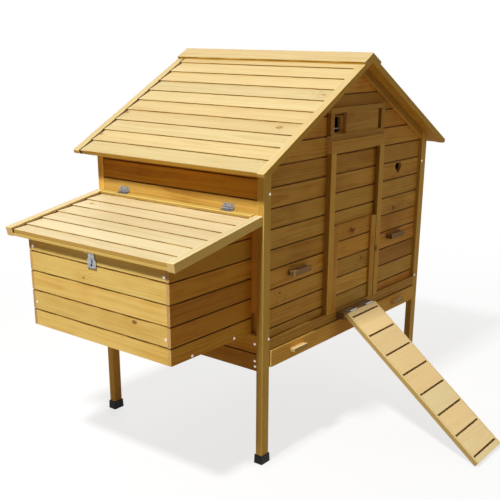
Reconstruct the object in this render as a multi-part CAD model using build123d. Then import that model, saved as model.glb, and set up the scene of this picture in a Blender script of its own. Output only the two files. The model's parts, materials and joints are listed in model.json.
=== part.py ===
from build123d import *
import os
from math import asin, atan2, ceil, cos, degrees, floor, hypot, radians, sin, sqrt, tan

# Millimetres. While modelling, x runs from the left posts' outer faces, y from the front
# posts' faces and z from the ground. The finished pieces are moved so that the origin is
# under the middle of the whole coop.

# Posts and foot caps
frame_width = 1024.0
frame_depth = 716.0
post_width = 36.0
post_depth = 25.0
cap_height = 31.0
cap_floor = 3.0
cap_wall = 3.6
cap_fit = 0.2
cap_taper = 2.0

# Matched boards of the walls
board_cover = 63.5
board_thickness = 12.0
groove_width = 4.0
groove_share = 1 / 3
tongue_share = 1 / 4
tongue_place = 0.58
tongue_height = 6.0
tongue_fit = 0.3
board_edge = 1.5
thin_course = 14.0

# Walls
rail_bottom = 391.5
rail_height = 34.0
skirt_drop = 69.5
rear_rail_height = 34.0
first_course = 27.5
side_course = 35.9
side_setback = 3.0
stile_width = 34.0
stile_depth = 24.0
stile_face_rise = 67.5

# Doorway, sliding door and its guides
doorway_shift = 6.0
doorway_width = 240.0
doorway_courses = 4
guide_span = 280.0
guide_width = 30.0
guide_depth = 20.0
guide_rebate = 8.0
guide_lip = 10.6
lintel_height = 39.0
door_board = 8.6
door_fit = 0.4
door_sill_gap = 1.5
door_height = 300.0
door_top_course = 59.5
door_stile_width = 30.5
door_stile_thickness = 9.0
knob_shift = -13.0
knob_drop = 33.0
knob_neck_r = 6.0
knob_neck = 8.0
knob_head_r = 11.0
knob_head = 11.0
knob_bevel = 3.5

# Vent with its sliding shutter
vent_shift = 3.0
vent_width = 337.0
vent_clear_height = 68.0
vent_batten = 19.0
vent_top_batten = 16.0
vent_batten_depth = 15.0
vent_hole_width = 54.0
vent_hole_height = 50.0
vent_hole_inset = 5.0
vent_hole_rise = 4.0
vent_board_rise = 9.5
vent_drop = 212.0
vent_bar_r = 2.5
vent_bar_rise = 12.0
shutter_width = 205.0
shutter_end_gap = 21.0
shutter_thickness = 13.0
shutter_fit = 0.4
shutter_tongue = 4.0
shutter_tongue_thickness = 5.0

# Heart cut-out and carrying handles
heart_width = 45.0
heart_courses = 2
heart_inset = 155.0
heart_rise = 36.5
handle_length = 96.0
handle_height = 20.0
handle_depth = 28.0
handle_left_inset = 109.0
handle_right_inset = 123.0
handle_left_rise = 182.0
handle_right_rise = 191.0
handle_cove_r = 8.0
handle_cove_depth = 4.5
handle_cove_out = 12.0

# Roof
roof_pitch = radians(28.6)
eave_overhang = 62.0
eave_top_z = 960.0
roof_butt = 14.0
roof_head = 10.5
roof_first_cover = 64.0
roof_end_overhang = 20.0
lap_length = 12.0
lap_lip = 5.0
lap_fit = 0.3
barge_width = 27.0
barge_rise = 14.0
barge_drop = 6.0
barge_tail = 2.0
gable_batten_width = 26.0
gable_batten_depth = 13.0
roof_batten_width = 30.0
roof_batten_depth = 18.0
roof_batten_gap = 1.0
ridge_leg = 58.0
ridge_thickness = 8.0

# Nest box
nest_reach = 359.0
nest_start = 47.0
nest_rear_margin = 71.0
nest_rise = 19.5
nest_first_course = 50.5
nest_floor_thickness = 12.0
nest_sill_course = 67.0
divider_thickness = 12.0
divider_height = 180.0

# Nest lid
lid_slope = radians(9.9)
lid_hinge_drop = 117.5
lid_overhang = 22.25
lid_wall_gap = 1.0
lid_start = 4.0
lid_rear_overhang = 6.0
lid_butt = 13.0
lid_head = 10.0
lid_first_cover = 50.0
lid_seat_gap = 0.3
lid_strip_width = 27.0
lid_strip_rise = 5.0
lid_strip_drop = 11.0
lid_strip_tail = 4.0
lid_edge_width = 15.0
lid_rail_width = 19.0
lid_rail_thickness = 8.0
lid_rail_end_gap = 3.0
lid_cleat_width = 25.0
lid_cleat_depth = 16.0
lid_cleat_inset = 7.0
lid_cleat_start = 30.0
lid_cleat_end_gap = 7.0
upper_wall_drop = 27.6

# Butt hinges, shared by the lid and the ramp
hinge_length = 45.0
knuckle_r = 3.5
knuckle_gap = 0.4
knuckle_count = 3
leaf_thickness = 1.5
hinge_clear = 0.4
hinge_pin_r = 1.5
pin_fit = 0.05
lid_leaf_width = 16.0
lid_hinge_inset = 90.0
lid_rear_hinge_inset = 55.0
ramp_leaf_width = 28.0
ramp_end_leaf_width = 15.0
ramp_hinge_spacing = 104.0

# Hasp and turning eye
hasp_shift = 8.5
hasp_width = 38.0
hasp_neck_width = 26.0
hasp_neck = 17.0
hasp_shoulder = 7.0
hasp_leaf_width = 10.0
hasp_length = 47.0
hasp_slot_width = 7.0
hasp_slot_length = 20.0
hasp_slot_end = 6.0
latch_base_thickness = 1.5
latch_base_width = 34.0
latch_base_height = 16.0
latch_gap = 0.5
eye_stem_r = 2.0
eye_width = 5.0
eye_height = 9.5
eye_thickness = 2.0
eye_slot_gap = 1.0

# Ramp
ramp_width = 190.0
ramp_length = 662.0
ramp_thickness = 17.0
ramp_strip_width = 9.0
ramp_axis_drop = 1.0
tread_cover = 88.0
tread_thickness = 14.0
tread_groove = 5.5
tread_foot_cover = 22.5
ledger_depth = 33.0
ledger_height = 26.0
ledger_drop = 5.5
ledger_to_axis = 8.5

# Dropping tray
tray_top_gap = 3.5
tray_side_gap = 3.0
tray_front_height = 56.5
tray_front_thickness = 14.0
tray_front_proud = 5.0
tray_base_rise = 9.0
tray_base_thickness = 6.0
tray_back_gap = 32.0
tray_rim_thickness = 10.0
tray_rim_height = 36.0
tray_slide_gap = 0.3
runner_width = 47.0
runner_height = 18.0
tray_handle_length = 74.0
tray_handle_height = 13.0
tray_handle_depth = 17.0
tray_handle_inset = 107.0
tray_handle_rise = 23.5
tray_cove_r = 4.5
tray_cove_depth = 3.0
tray_cove_out = 7.0

# Perches
perch_inset = 144.0
perch_spacing = 140.0
perch_rise = 134.5
perch_width = 40.0
perch_height = 28.0
perch_round = 8.0
perch_fit = 0.3
perch_block_width = 64.0
perch_block_height = 46.0
perch_block_thickness = 18.0

# Places worked out from the sizes above
middle_x = frame_width / 2
doorway_x = middle_x + doorway_shift
vent_x = middle_x + vent_shift
rail_top = rail_bottom + rail_height
skirt_bottom = rail_bottom - skirt_drop
wall_joint_z = rail_top + first_course
front_face_y = post_depth - board_thickness
rear_face_y = frame_depth - front_face_y
side_face_x = side_setback
right_face_x = frame_width - side_setback
doorway_top = wall_joint_z + doorway_courses * board_cover
eave_x = -eave_overhang + roof_butt * sin(roof_pitch)
eave_z = eave_top_z - roof_butt * cos(roof_pitch)
ridge_z = eave_z + (middle_x - eave_x) * tan(roof_pitch)
vent_course = floor((ridge_z - vent_drop - doorway_top) / board_cover)
vent_hole_z = doorway_top + vent_course * board_cover + vent_board_rise
lintel_top = vent_hole_z - vent_hole_rise - vent_batten
lintel_z = lintel_top - lintel_height
hinge_offset = knuckle_r + hinge_clear
lid_hinge_x = side_face_x - hinge_offset
lid_hinge_z = eave_z - lid_hinge_drop
lid_reach = (nest_reach + lid_overhang) / cos(lid_slope)
lid_cleat_end = (nest_reach - board_thickness) / cos(lid_slope) - lid_cleat_end_gap
lid_end = frame_depth + lid_rear_overhang
lid_top_n = -hinge_offset - lid_rail_thickness
lid_under_n = lid_top_n - lid_butt
lid_edge_n = lid_under_n - lid_strip_drop
nest_end = frame_depth - nest_rear_margin
nest_bottom = rail_top + nest_rise
rear_stile_start = nest_end - board_thickness
guide_front_y = front_face_y - guide_depth
far_out = 200.0

nodes = {"fixed_hinge_leaves": [], "hinge_pins": []}


def block(x0, x1, y0, y1, z0, z1):
    """A squared timber between two corners."""
    centre = Pos((x0 + x1) / 2, (y0 + y1) / 2, (z0 + z1) / 2)
    return centre * Box(x1 - x0, y1 - y0, z1 - z0)


def prism_along_x(outline, x0, x1):
    """A length of the (y, z) outline from x0 to x1."""
    plane = Plane(origin=(x0, 0, 0), x_dir=(0, 1, 0), z_dir=(1, 0, 0))
    return extrude(plane * make_face(Polyline(*outline, close=True)), x1 - x0, dir=(1, 0, 0))


def prism_along_y(outline, y0, y1):
    """A length of the (x, z) outline from y0 to y1."""
    plane = Plane(origin=(0, y0, 0), x_dir=(1, 0, 0), z_dir=(0, -1, 0))
    return extrude(plane * make_face(Polyline(*outline, close=True)), y1 - y0, dir=(0, 1, 0))


def rod_along_x(radius, x0, x1, y, z):
    """A round rod parallel to x."""
    return Pos((x0 + x1) / 2, y, z) * Rot(Y=90) * Cylinder(radius, x1 - x0)


def rod_along_y(radius, y0, y1, x, z):
    """A round rod parallel to y."""
    return Pos(x, (y0 + y1) / 2, z) * Rot(X=90) * Cylinder(radius, y1 - y0)


def clip(pieces, tool):
    """The parts of the pieces that lie inside the tool."""
    return [solid for piece in pieces for solid in (piece & tool).solids()]


def mirrored(outline):
    """The outline turned over to the other side of the coop's middle."""
    return [(frame_width - x, z) for x, z in outline]


def board_outline(height, thickness, slot_below, tongue_above, groove=groove_width):
    """Outline (depth, height) of a matched board with its shadow groove at the lower edge."""
    recess = thickness * groove_share
    tongue_near = thickness * tongue_place
    tongue_far = tongue_near + thickness * tongue_share
    slot_near = tongue_near - tongue_fit
    slot_far = tongue_far + tongue_fit
    slot_top = tongue_height + tongue_fit
    foot = [(0, 0), (thickness, 0)]
    head = [(thickness, height), (0, height)]
    if slot_below:
        foot = [(0, groove), (recess, groove), (recess, 0), (slot_near, 0), (slot_near, slot_top)]
        foot += [(slot_far, slot_top), (slot_far, 0), (thickness, 0)]
    if tongue_above:
        tip = height + tongue_height
        head = [(thickness, height), (tongue_far, height), (tongue_far, tip), (tongue_near, tip)]
        head += [(tongue_near, height), (board_edge, height), (0, height - board_edge)]
    return foot + head


def course_heights(z0, z1, joint_z):
    """Lower and upper edge of each board from z0 to z1, with a joint line at joint_z."""
    first = ceil((z0 + thin_course - joint_z) / board_cover)
    last = floor((z1 - thin_course - joint_z) / board_cover)
    lines = [z0] + [joint_z + board_cover * k for k in range(first, last + 1)] + [z1]
    return list(zip(lines, lines[1:]))


def wall_courses(z0, z1, joint_z, thickness=board_thickness, slot_below=False, tongue_above=False):
    """Outlines (depth, height) of all boards of a wall from z0 to z1."""
    outlines = []
    for low, high in course_heights(z0, z1, joint_z):
        board = board_outline(high - low, thickness, slot_below or low > z0, tongue_above or high < z1)
        outlines.append([(depth, low + rise) for depth, rise in board])
    return outlines


def boards_along_x(x0, x1, face_y, inward, outlines):
    """Boards from x0 to x1 with their outer faces at face_y."""
    placed = [[(face_y + inward * depth, z) for depth, z in outline] for outline in outlines]
    return [prism_along_x(outline, x0, x1) for outline in placed]


def boards_along_y(y0, y1, face_x, inward, outlines):
    """Boards from y0 to y1 with their outer faces at face_x."""
    placed = [[(face_x + inward * depth, z) for depth, z in outline] for outline in outlines]
    return [prism_along_y(outline, y0, y1) for outline in placed]


def lapped_outlines(end_at, first_cover, butt, head):
    """Outlines (along, up) of lapped boards that climb from the lower edge to end_at(up)."""
    count = ceil((end_at(0) - thin_course - first_cover) / board_cover)
    joints = [first_cover + board_cover * k for k in range(count)]
    outlines = []
    for index in range(count + 1):
        foot = [(0, 0), (0, butt)]
        if index > 0:
            low = joints[index - 1]
            foot = [(low + lap_length, 0), (low + lap_length, lap_lip), (low, lap_lip), (low, butt)]
        top = [(end_at(butt), butt), (end_at(0), 0)]
        if index < count:
            high = joints[index]
            tip = high + lap_length - lap_fit
            top = [(high, head), (high, lap_lip), (tip, lap_lip), (tip, 0)]
        outlines.append(foot + top)
    return outlines


def roof_point(along, up):
    """Point (x, z) on the left slope: along from the eave, up from the underside of the boards."""
    x = eave_x + along * cos(roof_pitch) - up * sin(roof_pitch)
    z = eave_z + along * sin(roof_pitch) + up * cos(roof_pitch)
    return (x, z)


def along_at(x, up):
    """Distance along the left slope to the upright plane at x."""
    return (x - eave_x + up * sin(roof_pitch)) / cos(roof_pitch)


def ridge_along(up):
    """Distance along the left slope to the coop's middle plane."""
    return along_at(middle_x, up)


def slope_bar(start_x, low, high):
    """Outline (x, z) of a bar along the left slope from an upright cut at start_x to the ridge."""
    corners = [(along_at(start_x, low), low), (along_at(start_x, high), high)]
    corners += [(ridge_along(high), high), (ridge_along(low), low)]
    return [roof_point(along, up) for along, up in corners]


def lid_point(out, up):
    """Point (x, z) on the lid: out from the hinge axis along the lid, up square to it."""
    x = lid_hinge_x - out * cos(lid_slope) - up * sin(lid_slope)
    z = lid_hinge_z - out * sin(lid_slope) + up * cos(lid_slope)
    return (x, z)


def lid_wall_end(up):
    """Distance out along the lid to its upright cut beside the posts."""
    return (lid_hinge_x + lid_wall_gap - up * sin(lid_slope)) / cos(lid_slope)


def lid_bar(starts, out, low, high):
    """Outline (x, z) of a bar on the lid, from its two inner corners out to a square end."""
    corners = [(starts[0], low), (starts[1], high), (out, high), (out, low)]
    return [lid_point(distance, up) for distance, up in corners]


def butt_leaf(plane, width, length, fixed):
    """One hinge leaf: its plate runs along the plane's y axis, its knuckles round the x axis."""
    segment = length / knuckle_count
    root = knuckle_r + hinge_clear
    plate_z = -hinge_offset + leaf_thickness / 2
    leaf = Pos(0, (root + width) / 2, plate_z) * Box(length, width - root, leaf_thickness)
    for index in range(0 if fixed else 1, knuckle_count, 2):
        centre_x = (index + 0.5) * segment - length / 2
        knuckle = Pos(centre_x, 0, 0) * Rot(Y=90) * Cylinder(knuckle_r, segment - knuckle_gap)
        tab = Pos(centre_x, root / 2, plate_z) * Box(segment - knuckle_gap, root, leaf_thickness)
        leaf = leaf + knuckle + tab
    leaf = leaf - Rot(Y=90) * Cylinder(hinge_pin_r + pin_fit, length + far_out)
    return plane * leaf


def hinge_pin(plane, length):
    """The pin of a butt hinge."""
    return plane * (Rot(Y=90) * Cylinder(hinge_pin_r, length))


def coved_handle(x0, length, height, depth, face_y, z0, cove_r, cove_depth, cove_out):
    """A wooden bar handle with a finger cove along its upper face."""
    bar = block(x0, x0 + length, face_y - depth, face_y, z0, z0 + height)
    cove_z = z0 + height + cove_r - cove_depth
    return bar - rod_along_x(cove_r, x0, x0 + length, face_y - cove_out, cove_z)


def foot_cap(x0, y0):
    """A tapered plastic cap with the foot of a post in it."""
    base = Rectangle(post_width + 2 * (cap_wall + cap_fit), post_depth + 2 * (cap_wall + cap_fit))
    cap = Pos(x0 + post_width / 2, y0 + post_depth / 2, 0) * extrude(base, cap_height, taper=cap_taper)
    x1 = x0 + post_width + cap_fit
    y1 = y0 + post_depth + cap_fit
    socket = block(x0 - cap_fit, x1, y0 - cap_fit, y1, cap_floor, cap_height)
    return cap - socket


def heart(width):
    """A heart outline: a square on its corner with a round lobe on each upper side."""
    side = width / (0.5 * sqrt(2) + 1)
    lobe = side / (2 * sqrt(2))
    square = Rot(Z=45) * Rectangle(side, side)
    return square + Pos(lobe, lobe) * Circle(side / 2) + Pos(-lobe, lobe) * Circle(side / 2)


roof_edge = [(eave_x, 0), (eave_x, eave_z), (middle_x, ridge_z)]
roof_edge += [(frame_width - eave_x, eave_z), (frame_width - eave_x, 0)]
under_roof = prism_along_y(roof_edge, -far_out, frame_depth + far_out)

lid_seat_n = lid_under_n - lid_seat_gap
lid_edge = [lid_point(-far_out, lid_seat_n), lid_point(lid_reach + far_out, lid_seat_n)]
lid_edge += [(lid_edge[1][0], 0), (lid_edge[0][0], 0)]
under_lid = prism_along_y(lid_edge, -far_out, frame_depth + far_out)


def build_posts():
    """Four posts cut to the roof slope, and the cap on each foot."""
    caps = []
    for side, x0 in (("left", 0.0), ("right", frame_width - post_width)):
        for end, y0 in (("front", 0.0), ("rear", frame_depth - post_depth)):
            post = block(x0, x0 + post_width, y0, y0 + post_depth, cap_floor, ridge_z)
            nodes[f"post_{end}_{side}"] = clip([post], under_roof)
            caps.append(foot_cap(x0, y0))
    nodes["foot_caps"] = caps


def build_front_wall():
    """Front boards round the doorway, the gable boards with their cut-outs, and the bottom rail."""
    inner_left = post_width
    inner_right = frame_width - post_width
    hole_left = doorway_x - doorway_width / 2
    hole_right = doorway_x + doorway_width / 2
    low = wall_courses(rail_top, doorway_top, wall_joint_z, tongue_above=True)
    nodes["front_wall_left_boards"] = boards_along_x(inner_left, hole_left, front_face_y, 1, low)
    nodes["front_wall_right_boards"] = boards_along_x(hole_right, inner_right, front_face_y, 1, low)

    high = wall_courses(doorway_top, ridge_z, wall_joint_z, slot_below=True)
    gable = clip(boards_along_x(inner_left, inner_right, front_face_y, 1, high), under_roof)
    heart_z = doorway_top + heart_courses * board_cover + heart_rise
    heart_plane = Plane(
        origin=(inner_right - heart_inset, front_face_y, heart_z), x_dir=(1, 0, 0), z_dir=(0, -1, 0)
    )
    heart_cutter = extrude(heart_plane * heart(heart_width), board_thickness, both=True)
    hole_x = vent_x - vent_width / 2 + vent_batten + vent_hole_inset
    hole_top = vent_hole_z + vent_hole_height
    hole = block(hole_x, hole_x + vent_hole_width, 0, frame_depth / 2, vent_hole_z, hole_top)
    bar_y = front_face_y + board_thickness / 2
    bar_z = vent_hole_z + vent_bar_rise
    gable = [solid for board in gable for solid in (board - hole - heart_cutter).solids()]
    nodes["front_heart_board"] = [gable[heart_courses]]
    nodes["front_vent_board"] = [gable[vent_course]]
    nodes["front_gable_boards"] = [
        board for k, board in enumerate(gable) if k not in (heart_courses, vent_course)
    ]
    nodes["vent_bar"] = [rod_along_x(vent_bar_r, hole_x, hole_x + vent_hole_width, bar_y, bar_z)]
    nodes["front_rail"] = [block(inner_left, inner_right, 0, post_depth, rail_bottom, rail_top)]

    left = slope_bar(post_width, -gable_batten_width, 0)
    battens = []
    for y0 in (front_face_y - gable_batten_depth, rear_face_y):
        for outline in (left, mirrored(left)):
            battens.append(prism_along_y(outline, y0, y0 + gable_batten_depth))
    nodes["gable_battens"] = battens


def build_rear_wall():
    """Plain rear boards on a bottom rail."""
    inner_left = post_width
    inner_right = frame_width - post_width
    rear_rail_top = skirt_bottom + rear_rail_height
    courses = wall_courses(rear_rail_top, ridge_z, wall_joint_z)
    boards = boards_along_x(inner_left, inner_right, rear_face_y, -1, courses)
    nodes["rear_wall_boards"] = clip(boards, under_roof)
    nodes["rear_rail"] = [
        block(inner_left, inner_right, frame_depth - post_depth, frame_depth, skirt_bottom, rear_rail_top)
    ]


def build_side_walls():
    """Left boards above and below the nest, the whole right wall, and the stiles behind them."""
    y0 = post_depth
    y1 = frame_depth - post_depth
    left_back = side_face_x + board_thickness
    left_x1 = side_face_x + stile_depth
    right_back = right_face_x - board_thickness
    right_x0 = right_face_x - stile_depth
    upper_z = lid_hinge_z - upper_wall_drop
    face_z = nest_bottom + stile_face_rise
    stiles = []
    for start, stop in ((y0, y0 + stile_width), (rear_stile_start, y1)):
        core = block(left_back, left_x1, start, stop, skirt_bottom, ridge_z)
        stiles.append(core + block(side_face_x, left_back, start, stop, face_z, upper_z))
    for start, stop in ((y0, y0 + stile_width), (y1 - stile_width, y1)):
        stiles.append(block(right_x0, right_back, start, stop, skirt_bottom, ridge_z))
    nodes["side_wall_stiles"] = clip(stiles, under_roof)

    wall_top = eave_z + (left_back - eave_x) * tan(roof_pitch)
    side_joint_z = lid_hinge_z + side_course
    lower = wall_courses(skirt_bottom, nest_bottom, nest_bottom - nest_sill_course)
    upper = wall_courses(upper_z, wall_top, side_joint_z)
    whole = wall_courses(skirt_bottom, wall_top, side_joint_z)
    nodes["left_wall_lower_boards"] = boards_along_y(y0, y1, side_face_x, 1, lower)
    nodes["left_wall_upper_boards"] = clip(boards_along_y(y0, y1, side_face_x, 1, upper), under_roof)
    nodes["right_wall_boards"] = clip(boards_along_y(y0, y1, right_face_x, -1, whole), under_roof)


def build_door():
    """Rebated guides and lintel on the front wall, and the door that slides up between them."""
    span_left = doorway_x - guide_span / 2
    span_right = doorway_x + guide_span / 2
    lip_y = guide_front_y + guide_lip
    guides = []
    for x0, inner in ((span_left - guide_width, span_left), (span_right, span_right)):
        bar = block(x0, x0 + guide_width, guide_front_y, front_face_y, rail_top, lintel_z)
        rebate = block(inner - guide_rebate, inner + guide_rebate, lip_y, front_face_y, rail_top, lintel_z)
        guides.append(bar - rebate)
    nodes["door_guides"] = guides
    lintel_x0 = span_left - guide_width
    lintel_x1 = span_right + guide_width
    nodes["door_lintel"] = [block(lintel_x0, lintel_x1, guide_front_y, front_face_y, lintel_z, lintel_top)]

    door_bottom = rail_top + door_sill_gap
    door_top = door_bottom + door_height
    board_y = front_face_y - door_fit - door_board
    edge = guide_rebate - door_fit
    courses = wall_courses(door_bottom, door_top, door_top - door_top_course, thickness=door_board)
    nodes["door_boards"] = boards_along_x(span_left - edge, span_right + edge, board_y, 1, courses)
    stile_y = board_y - door_stile_thickness
    stiles = []
    for x0 in (span_left + door_fit, span_right - door_fit - door_stile_width):
        stiles.append(block(x0, x0 + door_stile_width, stile_y, board_y, door_bottom, door_top))
    nodes["door_stiles"] = stiles

    knob_x = doorway_x + knob_shift
    knob_z = door_top - knob_drop
    head_y = board_y - knob_neck
    head = rod_along_y(knob_head_r, head_y - knob_head, head_y, knob_x, knob_z)
    rim = head.edges().filter_by(GeomType.CIRCLE).group_by(Axis.Y)[0]
    head = chamfer(rim, knob_bevel)
    nodes["door_knob"] = [head + rod_along_y(knob_neck_r, head_y, board_y, knob_x, knob_z)]


def build_vent():
    """Batten frame on the gable and the shutter that slides in its grooves."""
    x0 = vent_x - vent_width / 2
    x1 = vent_x + vent_width / 2
    front = front_face_y - vent_batten_depth
    clear_z0 = lintel_top + vent_batten
    clear_z1 = clear_z0 + vent_clear_height
    inner_x0 = x0 + vent_batten
    inner_x1 = x1 - vent_batten
    shutter_back = front_face_y - shutter_fit
    tongue_y1 = shutter_back - (shutter_thickness - shutter_tongue_thickness) / 2
    tongue_y0 = tongue_y1 - shutter_tongue_thickness
    groove_depth = shutter_tongue + shutter_fit
    grooves = block(
        inner_x0, inner_x1, tongue_y0 - shutter_fit, tongue_y1 + shutter_fit,
        clear_z0 - groove_depth, clear_z1 + groove_depth,
    )
    nodes["vent_frame"] = [
        block(x0, x1, front, front_face_y, lintel_top, clear_z0) - grooves,
        block(x0, x1, front, front_face_y, clear_z1, clear_z1 + vent_top_batten) - grooves,
        block(x0, inner_x0, front, front_face_y, clear_z0, clear_z1),
        block(inner_x1, x1, front, front_face_y, clear_z0, clear_z1),
    ]
    shutter_x1 = inner_x1 - shutter_end_gap
    shutter_x0 = shutter_x1 - shutter_width
    body = block(
        shutter_x0, shutter_x1, shutter_back - shutter_thickness, shutter_back,
        clear_z0 + shutter_fit, clear_z1 - shutter_fit,
    )
    tongues = block(
        shutter_x0, shutter_x1, tongue_y0, tongue_y1, clear_z0 - shutter_tongue, clear_z1 + shutter_tongue
    )
    nodes["vent_shutter"] = [body + tongues]


def build_handles():
    """Carrying handles on the front wall."""
    left_x = post_width + handle_left_inset
    right_x = frame_width - post_width - handle_right_inset - handle_length
    nodes["carry_handles"] = [
        coved_handle(
            x0, handle_length, handle_height, handle_depth, front_face_y, rail_top + rise,
            handle_cove_r, handle_cove_depth, handle_cove_out,
        )
        for x0, rise in ((left_x, handle_left_rise), (right_x, handle_right_rise))
    ]


def build_roof():
    """Lapped boards, barge strips, battens underneath and the two ridge boards."""
    outlines = lapped_outlines(ridge_along, roof_first_cover, roof_butt, roof_head)
    left = [[roof_point(along, up) for along, up in outline] for outline in outlines]
    y0 = -roof_end_overhang
    y1 = frame_depth + roof_end_overhang
    nodes["roof_left_boards"] = [prism_along_y(outline, y0, y1) for outline in left]
    nodes["roof_right_boards"] = [prism_along_y(mirrored(outline), y0, y1) for outline in left]

    corners = [(-barge_tail, barge_tail * tan(roof_pitch)), (-barge_tail, barge_rise)]
    corners += [(ridge_along(barge_rise), barge_rise), (ridge_along(-barge_drop), -barge_drop)]
    corners.append((barge_drop / tan(roof_pitch), -barge_drop))
    barge = [roof_point(along, up) for along, up in corners]
    strip_start = stile_depth + side_face_x + roof_batten_gap
    strip = slope_bar(strip_start, -roof_batten_depth, 0)
    cap_start = ridge_along(barge_rise) - ridge_leg
    cap_top = barge_rise + ridge_thickness
    corners = [(cap_start, barge_rise), (cap_start, cap_top)]
    corners += [(ridge_along(cap_top), cap_top), (ridge_along(barge_rise), barge_rise)]
    cap = [roof_point(along, up) for along, up in corners]

    barges = []
    strips = []
    strip_rear = frame_depth - post_depth - roof_batten_width
    for side in (list, mirrored):
        for start in (y0 - barge_width, y1):
            barges.append(prism_along_y(side(barge), start, start + barge_width))
        for start in (post_depth, strip_rear):
            strips.append(prism_along_y(side(strip), start, start + roof_batten_width))
    nodes["barge_strips"] = barges
    nodes["roof_battens"] = strips
    nodes["ridge_boards"] = [
        prism_along_y(outline, y0 - barge_width, y1 + barge_width) for outline in (cap, mirrored(cap))
    ]


def build_nest():
    """Nest box walls under the lid, its floor and the divider."""
    inner_x = -nest_reach + board_thickness
    inner_y0 = nest_start + board_thickness
    inner_y1 = nest_end - board_thickness
    courses = wall_courses(nest_bottom, lid_hinge_z, nest_bottom + nest_first_course)
    front = boards_along_y(inner_y0, inner_y1, -nest_reach, 1, courses)
    near = boards_along_x(-nest_reach, side_face_x, nest_start, 1, courses)
    far = boards_along_x(-nest_reach, side_face_x, nest_end, -1, courses)
    nodes["nest_front_boards"] = clip(front, under_lid)
    nodes["nest_side_front_boards"] = clip(near, under_lid)
    nodes["nest_side_rear_boards"] = clip(far, under_lid)
    floor_top = nest_bottom + nest_floor_thickness
    floor_x1 = side_face_x + board_thickness
    nodes["nest_floor"] = [block(inner_x, floor_x1, inner_y0, inner_y1, nest_bottom, floor_top)]
    divider_y = (nest_start + nest_end - divider_thickness) / 2
    divider_top = floor_top + divider_height
    nodes["nest_divider"] = [
        block(inner_x, side_face_x, divider_y, divider_y + divider_thickness, floor_top, divider_top)
    ]


def build_lid():
    """Lapped lid boards in a frame of strips, with the hinge rail on top and cleats underneath."""
    y0 = lid_start
    y1 = lid_end

    def board_run(up):
        """Length of the lid from its outer edge to the upright cut."""
        return lid_reach - lid_wall_end(lid_under_n + up)

    boards = lapped_outlines(board_run, lid_first_cover, lid_butt, lid_head)
    nodes["lid_boards"] = [
        prism_along_y(
            [lid_point(lid_reach - along, lid_under_n + up) for along, up in outline],
            y0 + lid_strip_width, y1 - lid_strip_width,
        )
        for outline in boards
    ]
    high = lid_top_n + lid_strip_rise
    starts = (lid_wall_end(lid_edge_n), lid_wall_end(high))
    strip = lid_bar(starts, lid_reach + lid_strip_tail, lid_edge_n, high)
    edge_start = lid_reach - lid_edge_width
    edge = lid_bar((edge_start, edge_start), lid_reach, lid_edge_n, lid_under_n)
    nodes["lid_end_strips"] = [
        prism_along_y(strip, y0, y0 + lid_strip_width),
        prism_along_y(strip, y1 - lid_strip_width, y1),
        prism_along_y(edge, y0 + lid_strip_width, y1 - lid_strip_width),
    ]
    high = lid_top_n + lid_rail_thickness
    rail = lid_bar((lid_wall_end(lid_top_n), lid_wall_end(high)), lid_rail_width, lid_top_n, high)
    rail_inset = lid_strip_width + lid_rail_end_gap
    nodes["lid_hinge_rail"] = [prism_along_y(rail, y0 + rail_inset, y1 - rail_inset)]
    cleat_starts = (lid_cleat_start, lid_cleat_start)
    cleat = lid_bar(cleat_starts, lid_cleat_end, lid_under_n - lid_cleat_depth, lid_under_n)
    cleat_y0 = nest_start + board_thickness + lid_cleat_inset
    cleat_y1 = nest_end - board_thickness - lid_cleat_inset - lid_cleat_width
    nodes["lid_cleats"] = [
        prism_along_y(cleat, start, start + lid_cleat_width) for start in (cleat_y0, cleat_y1)
    ]


def build_lid_hinges():
    """Two butt hinges between the left wall and the lid's hinge rail."""
    off_lid = (-sin(lid_slope), 0, cos(lid_slope))
    moving = []
    for y in (nest_start + lid_hinge_inset, nest_end - lid_rear_hinge_inset):
        centre = (lid_hinge_x, y, lid_hinge_z)
        lid_plane = Plane(origin=centre, x_dir=(0, 1, 0), z_dir=off_lid)
        wall_plane = Plane(origin=centre, x_dir=(0, -1, 0), z_dir=(-1, 0, 0))
        moving.append(butt_leaf(lid_plane, lid_leaf_width, hinge_length, False))
        nodes["fixed_hinge_leaves"].append(butt_leaf(wall_plane, lid_leaf_width, hinge_length, True))
        nodes["hinge_pins"].append(hinge_pin(wall_plane, hinge_length))
    nodes["lid_hinge_leaves"] = moving


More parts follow.
